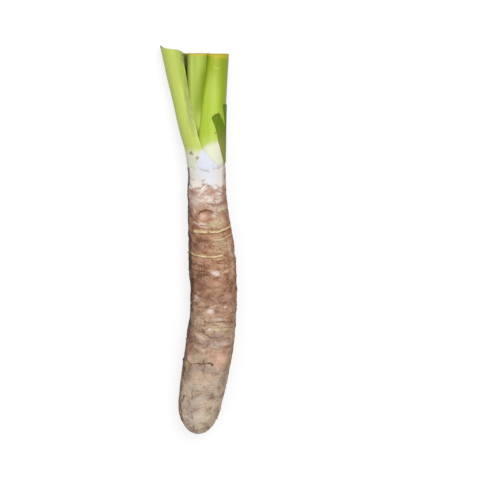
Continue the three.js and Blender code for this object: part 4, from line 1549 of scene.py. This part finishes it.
def crumb_shape(tree, long, wide):
    """A small flattened lump. It has no length of its own."""
    ball = add_node(tree, "GeometryNodeMeshIcoSphere", {"Radius": wide, "Subdivisions": 1})
    flat = {"Geometry": ball.outputs["Mesh"], "Scale": (1.3, 0.9, 0.55)}
    return add_node(tree, "GeometryNodeTransform", flat).outputs[0]


# Kinds of debris: settings prefix -> (mask, shape, largest turns, material, its patches in mm).
DEBRIS = {
    "stub": ("rooting", stub_shape, (0.5, 0.5, 3.1), "broken_rootlet", 0.8),
    "hair": ("rooting", hair_shape, (0.1, 0.1, 3.1), "fine_dry_rootlet", 3),
    "fibre": ("fray", hair_shape, (0.5, 0.5, 3.1), "frayed_sheath_fibre", 2),
    "crumb": ("dirt", crumb_shape, (0.3, 0.3, 3.1), "dried_soil", 0.6),
}
# Scattered pieces: (name, the piece that carries it, kind, seed).
SCATTERED = (
    ("rootlet_stubs", "corm_skin", "stub", 3),
    ("fine_rootlets", "corm_skin", "hair", 5),
    ("margin_fibres", "outer_stalk", "fibre", 2),
    ("skin_crumbs", "corm_skin", "crumb", 7),
    ("stalk_crumbs", "outer_stalk", "crumb", 7),
)


class TARO_OT_scatter_debris(bpy.types.Operator):
    """Scatter broken rootlets, fine hairs and crumbs of soil over the root"""

    bl_idname = "taro.scatter_debris"
    bl_label = "Scatter Rootlets and Soil"

    def execute(self, context):
        settings = context.scene.taro_debris
        trees, materials = {}, {}
        for kind, (mask, shape, turn, look, patches) in DEBRIS.items():
            trees[kind] = scatter_tree(f"scatter_{kind}s", mask, shape, turn)
            tint = getattr(settings, f"{kind}_colour")
            materials[kind] = fibrous_material(look, tint, patches)
        for name, slot, kind, seed in SCATTERED:
            piece = add_object(name, bpy.data.objects[slot].data.copy())
            modifier = piece.modifiers.new("scatter", "NODES")
            modifier.node_group = trees[kind]
            given = {"Seed": seed, "Material": materials[kind]}
            # A crumb has no length of its own.
            for size in ("Density", "Length", "Width"):
                given[size] = getattr(settings, f"{kind}_{size.lower()}", 0.0)
            for socket in trees[kind].interface.items_tree:
                if socket.name in given:
                    modifier[socket.identifier] = given[socket.name]
            plain_mesh(piece)
            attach(piece, "root")
        return {"FINISHED"}


# -------------------------------------------------------------------------------- the stage

FLOOR_HALF = 6.0  # half the floor's width, in metres
# Soft square lamps: name -> (place in metres, the point it faces, watts, width).
LAMPS = {
    "key": ((0.5, 0.6, 1.7), (0, 0, 0.02), 14, 0.9),
    "top": ((-0.2, 0, 1.9), (0, 0, 0), 9, 1.6),
}


class StageSettings(bpy.types.PropertyGroup):
    camera_side: length("Camera side", "Camera's place across the root, from its own zero", 40)
    camera_along: length("Camera along", "Camera's station along the root", 243.4)
    camera_height: length("Camera height", "Height of the camera", 1447)
    lens: FloatProperty(name="Lens", description="Focal length", unit="CAMERA", default=85)
    floor: colour("Floor", "Colour of the painted board", "#949494")
    floor_white: FloatProperty(
        name="Floor white", description="Light that the board adds for the camera", default=0.72
    )


def seeing_rays(tree):
    """1 for rays that see the background as it is: the camera's, mirrored and passing ones."""
    seen = add_node(tree, "ShaderNodeLightPath").outputs
    rays = worked_out(tree, "MAXIMUM", seen["Is Camera Ray"], seen["Is Glossy Ray"])
    return worked_out(tree, "MAXIMUM", rays, seen["Is Transmission Ray"])


def board_material(paint, white):
    """White painted board: matt and plain. It reads as white to the camera and in reflections, and
    keeps the shadow, while it throws less light back up at the root."""
    material, tree = new_material("white_painted_board")
    strength = worked_out(tree, "MULTIPLY", seeing_rays(tree), white)
    glow = add_node(tree, "ShaderNodeEmission", {"Strength": strength}).outputs[0]
    grain = add_node(tree, "ShaderNodeTexNoise", {"Scale": 400.0, "Detail": 2.0}).outputs["Fac"]
    bumps = {"Height": grain, "Strength": 0.1, "Distance": 0.1 * MM}
    normal = add_node(tree, "ShaderNodeBump", bumps).outputs[0]
    matt = add_node(tree, "ShaderNodeBsdfDiffuse", {"Color": paint, "Normal": normal})
    both = add_node(tree, "ShaderNodeAddShader", {0: matt.outputs[0], 1: glow}).outputs[0]
    add_node(tree, "ShaderNodeOutputMaterial", {0: both})
    return material


class TARO_OT_set_stage(bpy.types.Operator):
    """Set the stage: a plain white floor, soft light from above and the camera"""

    bl_idname = "taro.set_stage"
    bl_label = "Set Stage"

    def execute(self, context):
        settings = context.scene.taro_stage
        scene = context.scene
        scene.view_settings.view_transform = "Standard"
        mesh = bpy.data.meshes.new("floor")
        corners = [(-1, -1, 0), (1, -1, 0), (1, 1, 0), (-1, 1, 0)]
        mesh.from_pydata([Vector(corner) * FLOOR_HALF for corner in corners], [], [(0, 1, 2, 3)])
        mesh.materials.append(board_material(settings.floor, settings.floor_white))
        floor = add_object("floor", mesh)
        world = bpy.data.worlds.new("studio")
        world.use_nodes = True
        tree = world.node_tree
        tree.nodes.clear()
        # The camera sees a white world, which lights the root with about half that strength.
        strength = ranged(tree, seeing_rays(tree), 0.0, 1.0, 0.55, 1.0)
        background = add_node(tree, "ShaderNodeBackground", {0: (1, 1, 1, 1), 1: strength})
        add_node(tree, "ShaderNodeOutputWorld", {0: background.outputs[0]})
        scene.world = world
        for name, (place, target, energy, width) in LAMPS.items():
            lamp = bpy.data.lights.new(name, "AREA")
            lamp.energy, lamp.size = energy, width
            holder = add_object(name, lamp)
            holder.location = place
            facing = Vector(target) - Vector(place)
            holder.rotation_euler = facing.to_track_quat("-Z", "Y").to_euler()
        camera = bpy.data.cameras.new("camera")
        camera.lens, camera.sensor_width = settings.lens, 36
        holder = add_object("camera", camera)
        place = (settings.camera_side, settings.camera_along, settings.camera_height)
        holder.location = to_frame([value / MM for value in place])
        scene.camera = holder
        return {"FINISHED"}


class TARO_PT_panel(bpy.types.Panel):
    """The taro root's makers"""

    bl_idname = "TARO_PT_panel"
    bl_label = "Taro Root"
    bl_space_type = "VIEW_3D"
    bl_region_type = "UI"
    bl_category = "Taro"

    def draw(self, context):
        for maker in MAKERS:
            self.layout.operator(maker.bl_idname)


SETTINGS = {
    "taro_stage": StageSettings,
    "taro_corm": CormSettings,
    "taro_stalks": StalkSettings,
    "taro_sheath": ShadowSheetSettings,
    "taro_debris": DebrisSettings,
}
MAKERS = (
    TARO_OT_set_stage,
    TARO_OT_grow_corm,
    TARO_OT_grow_stalks,
    TARO_OT_grow_shadow_sheet,
    TARO_OT_scatter_debris,
)
CLASSES = (*SETTINGS.values(), *MAKERS, TARO_PT_panel)


def register():
    for each in CLASSES:
        bpy.utils.register_class(each)
    for name, group in SETTINGS.items():
        setattr(bpy.types.Scene, name, PointerProperty(type=group))


def unregister():
    for name in SETTINGS:
        delattr(bpy.types.Scene, name)
    for each in reversed(CLASSES):
        bpy.utils.unregister_class(each)


def main():
    register()
    for maker in MAKERS:
        getattr(bpy.ops.taro, maker.bl_idname.split(".")[1])()


if __name__ == "__main__":
    main()
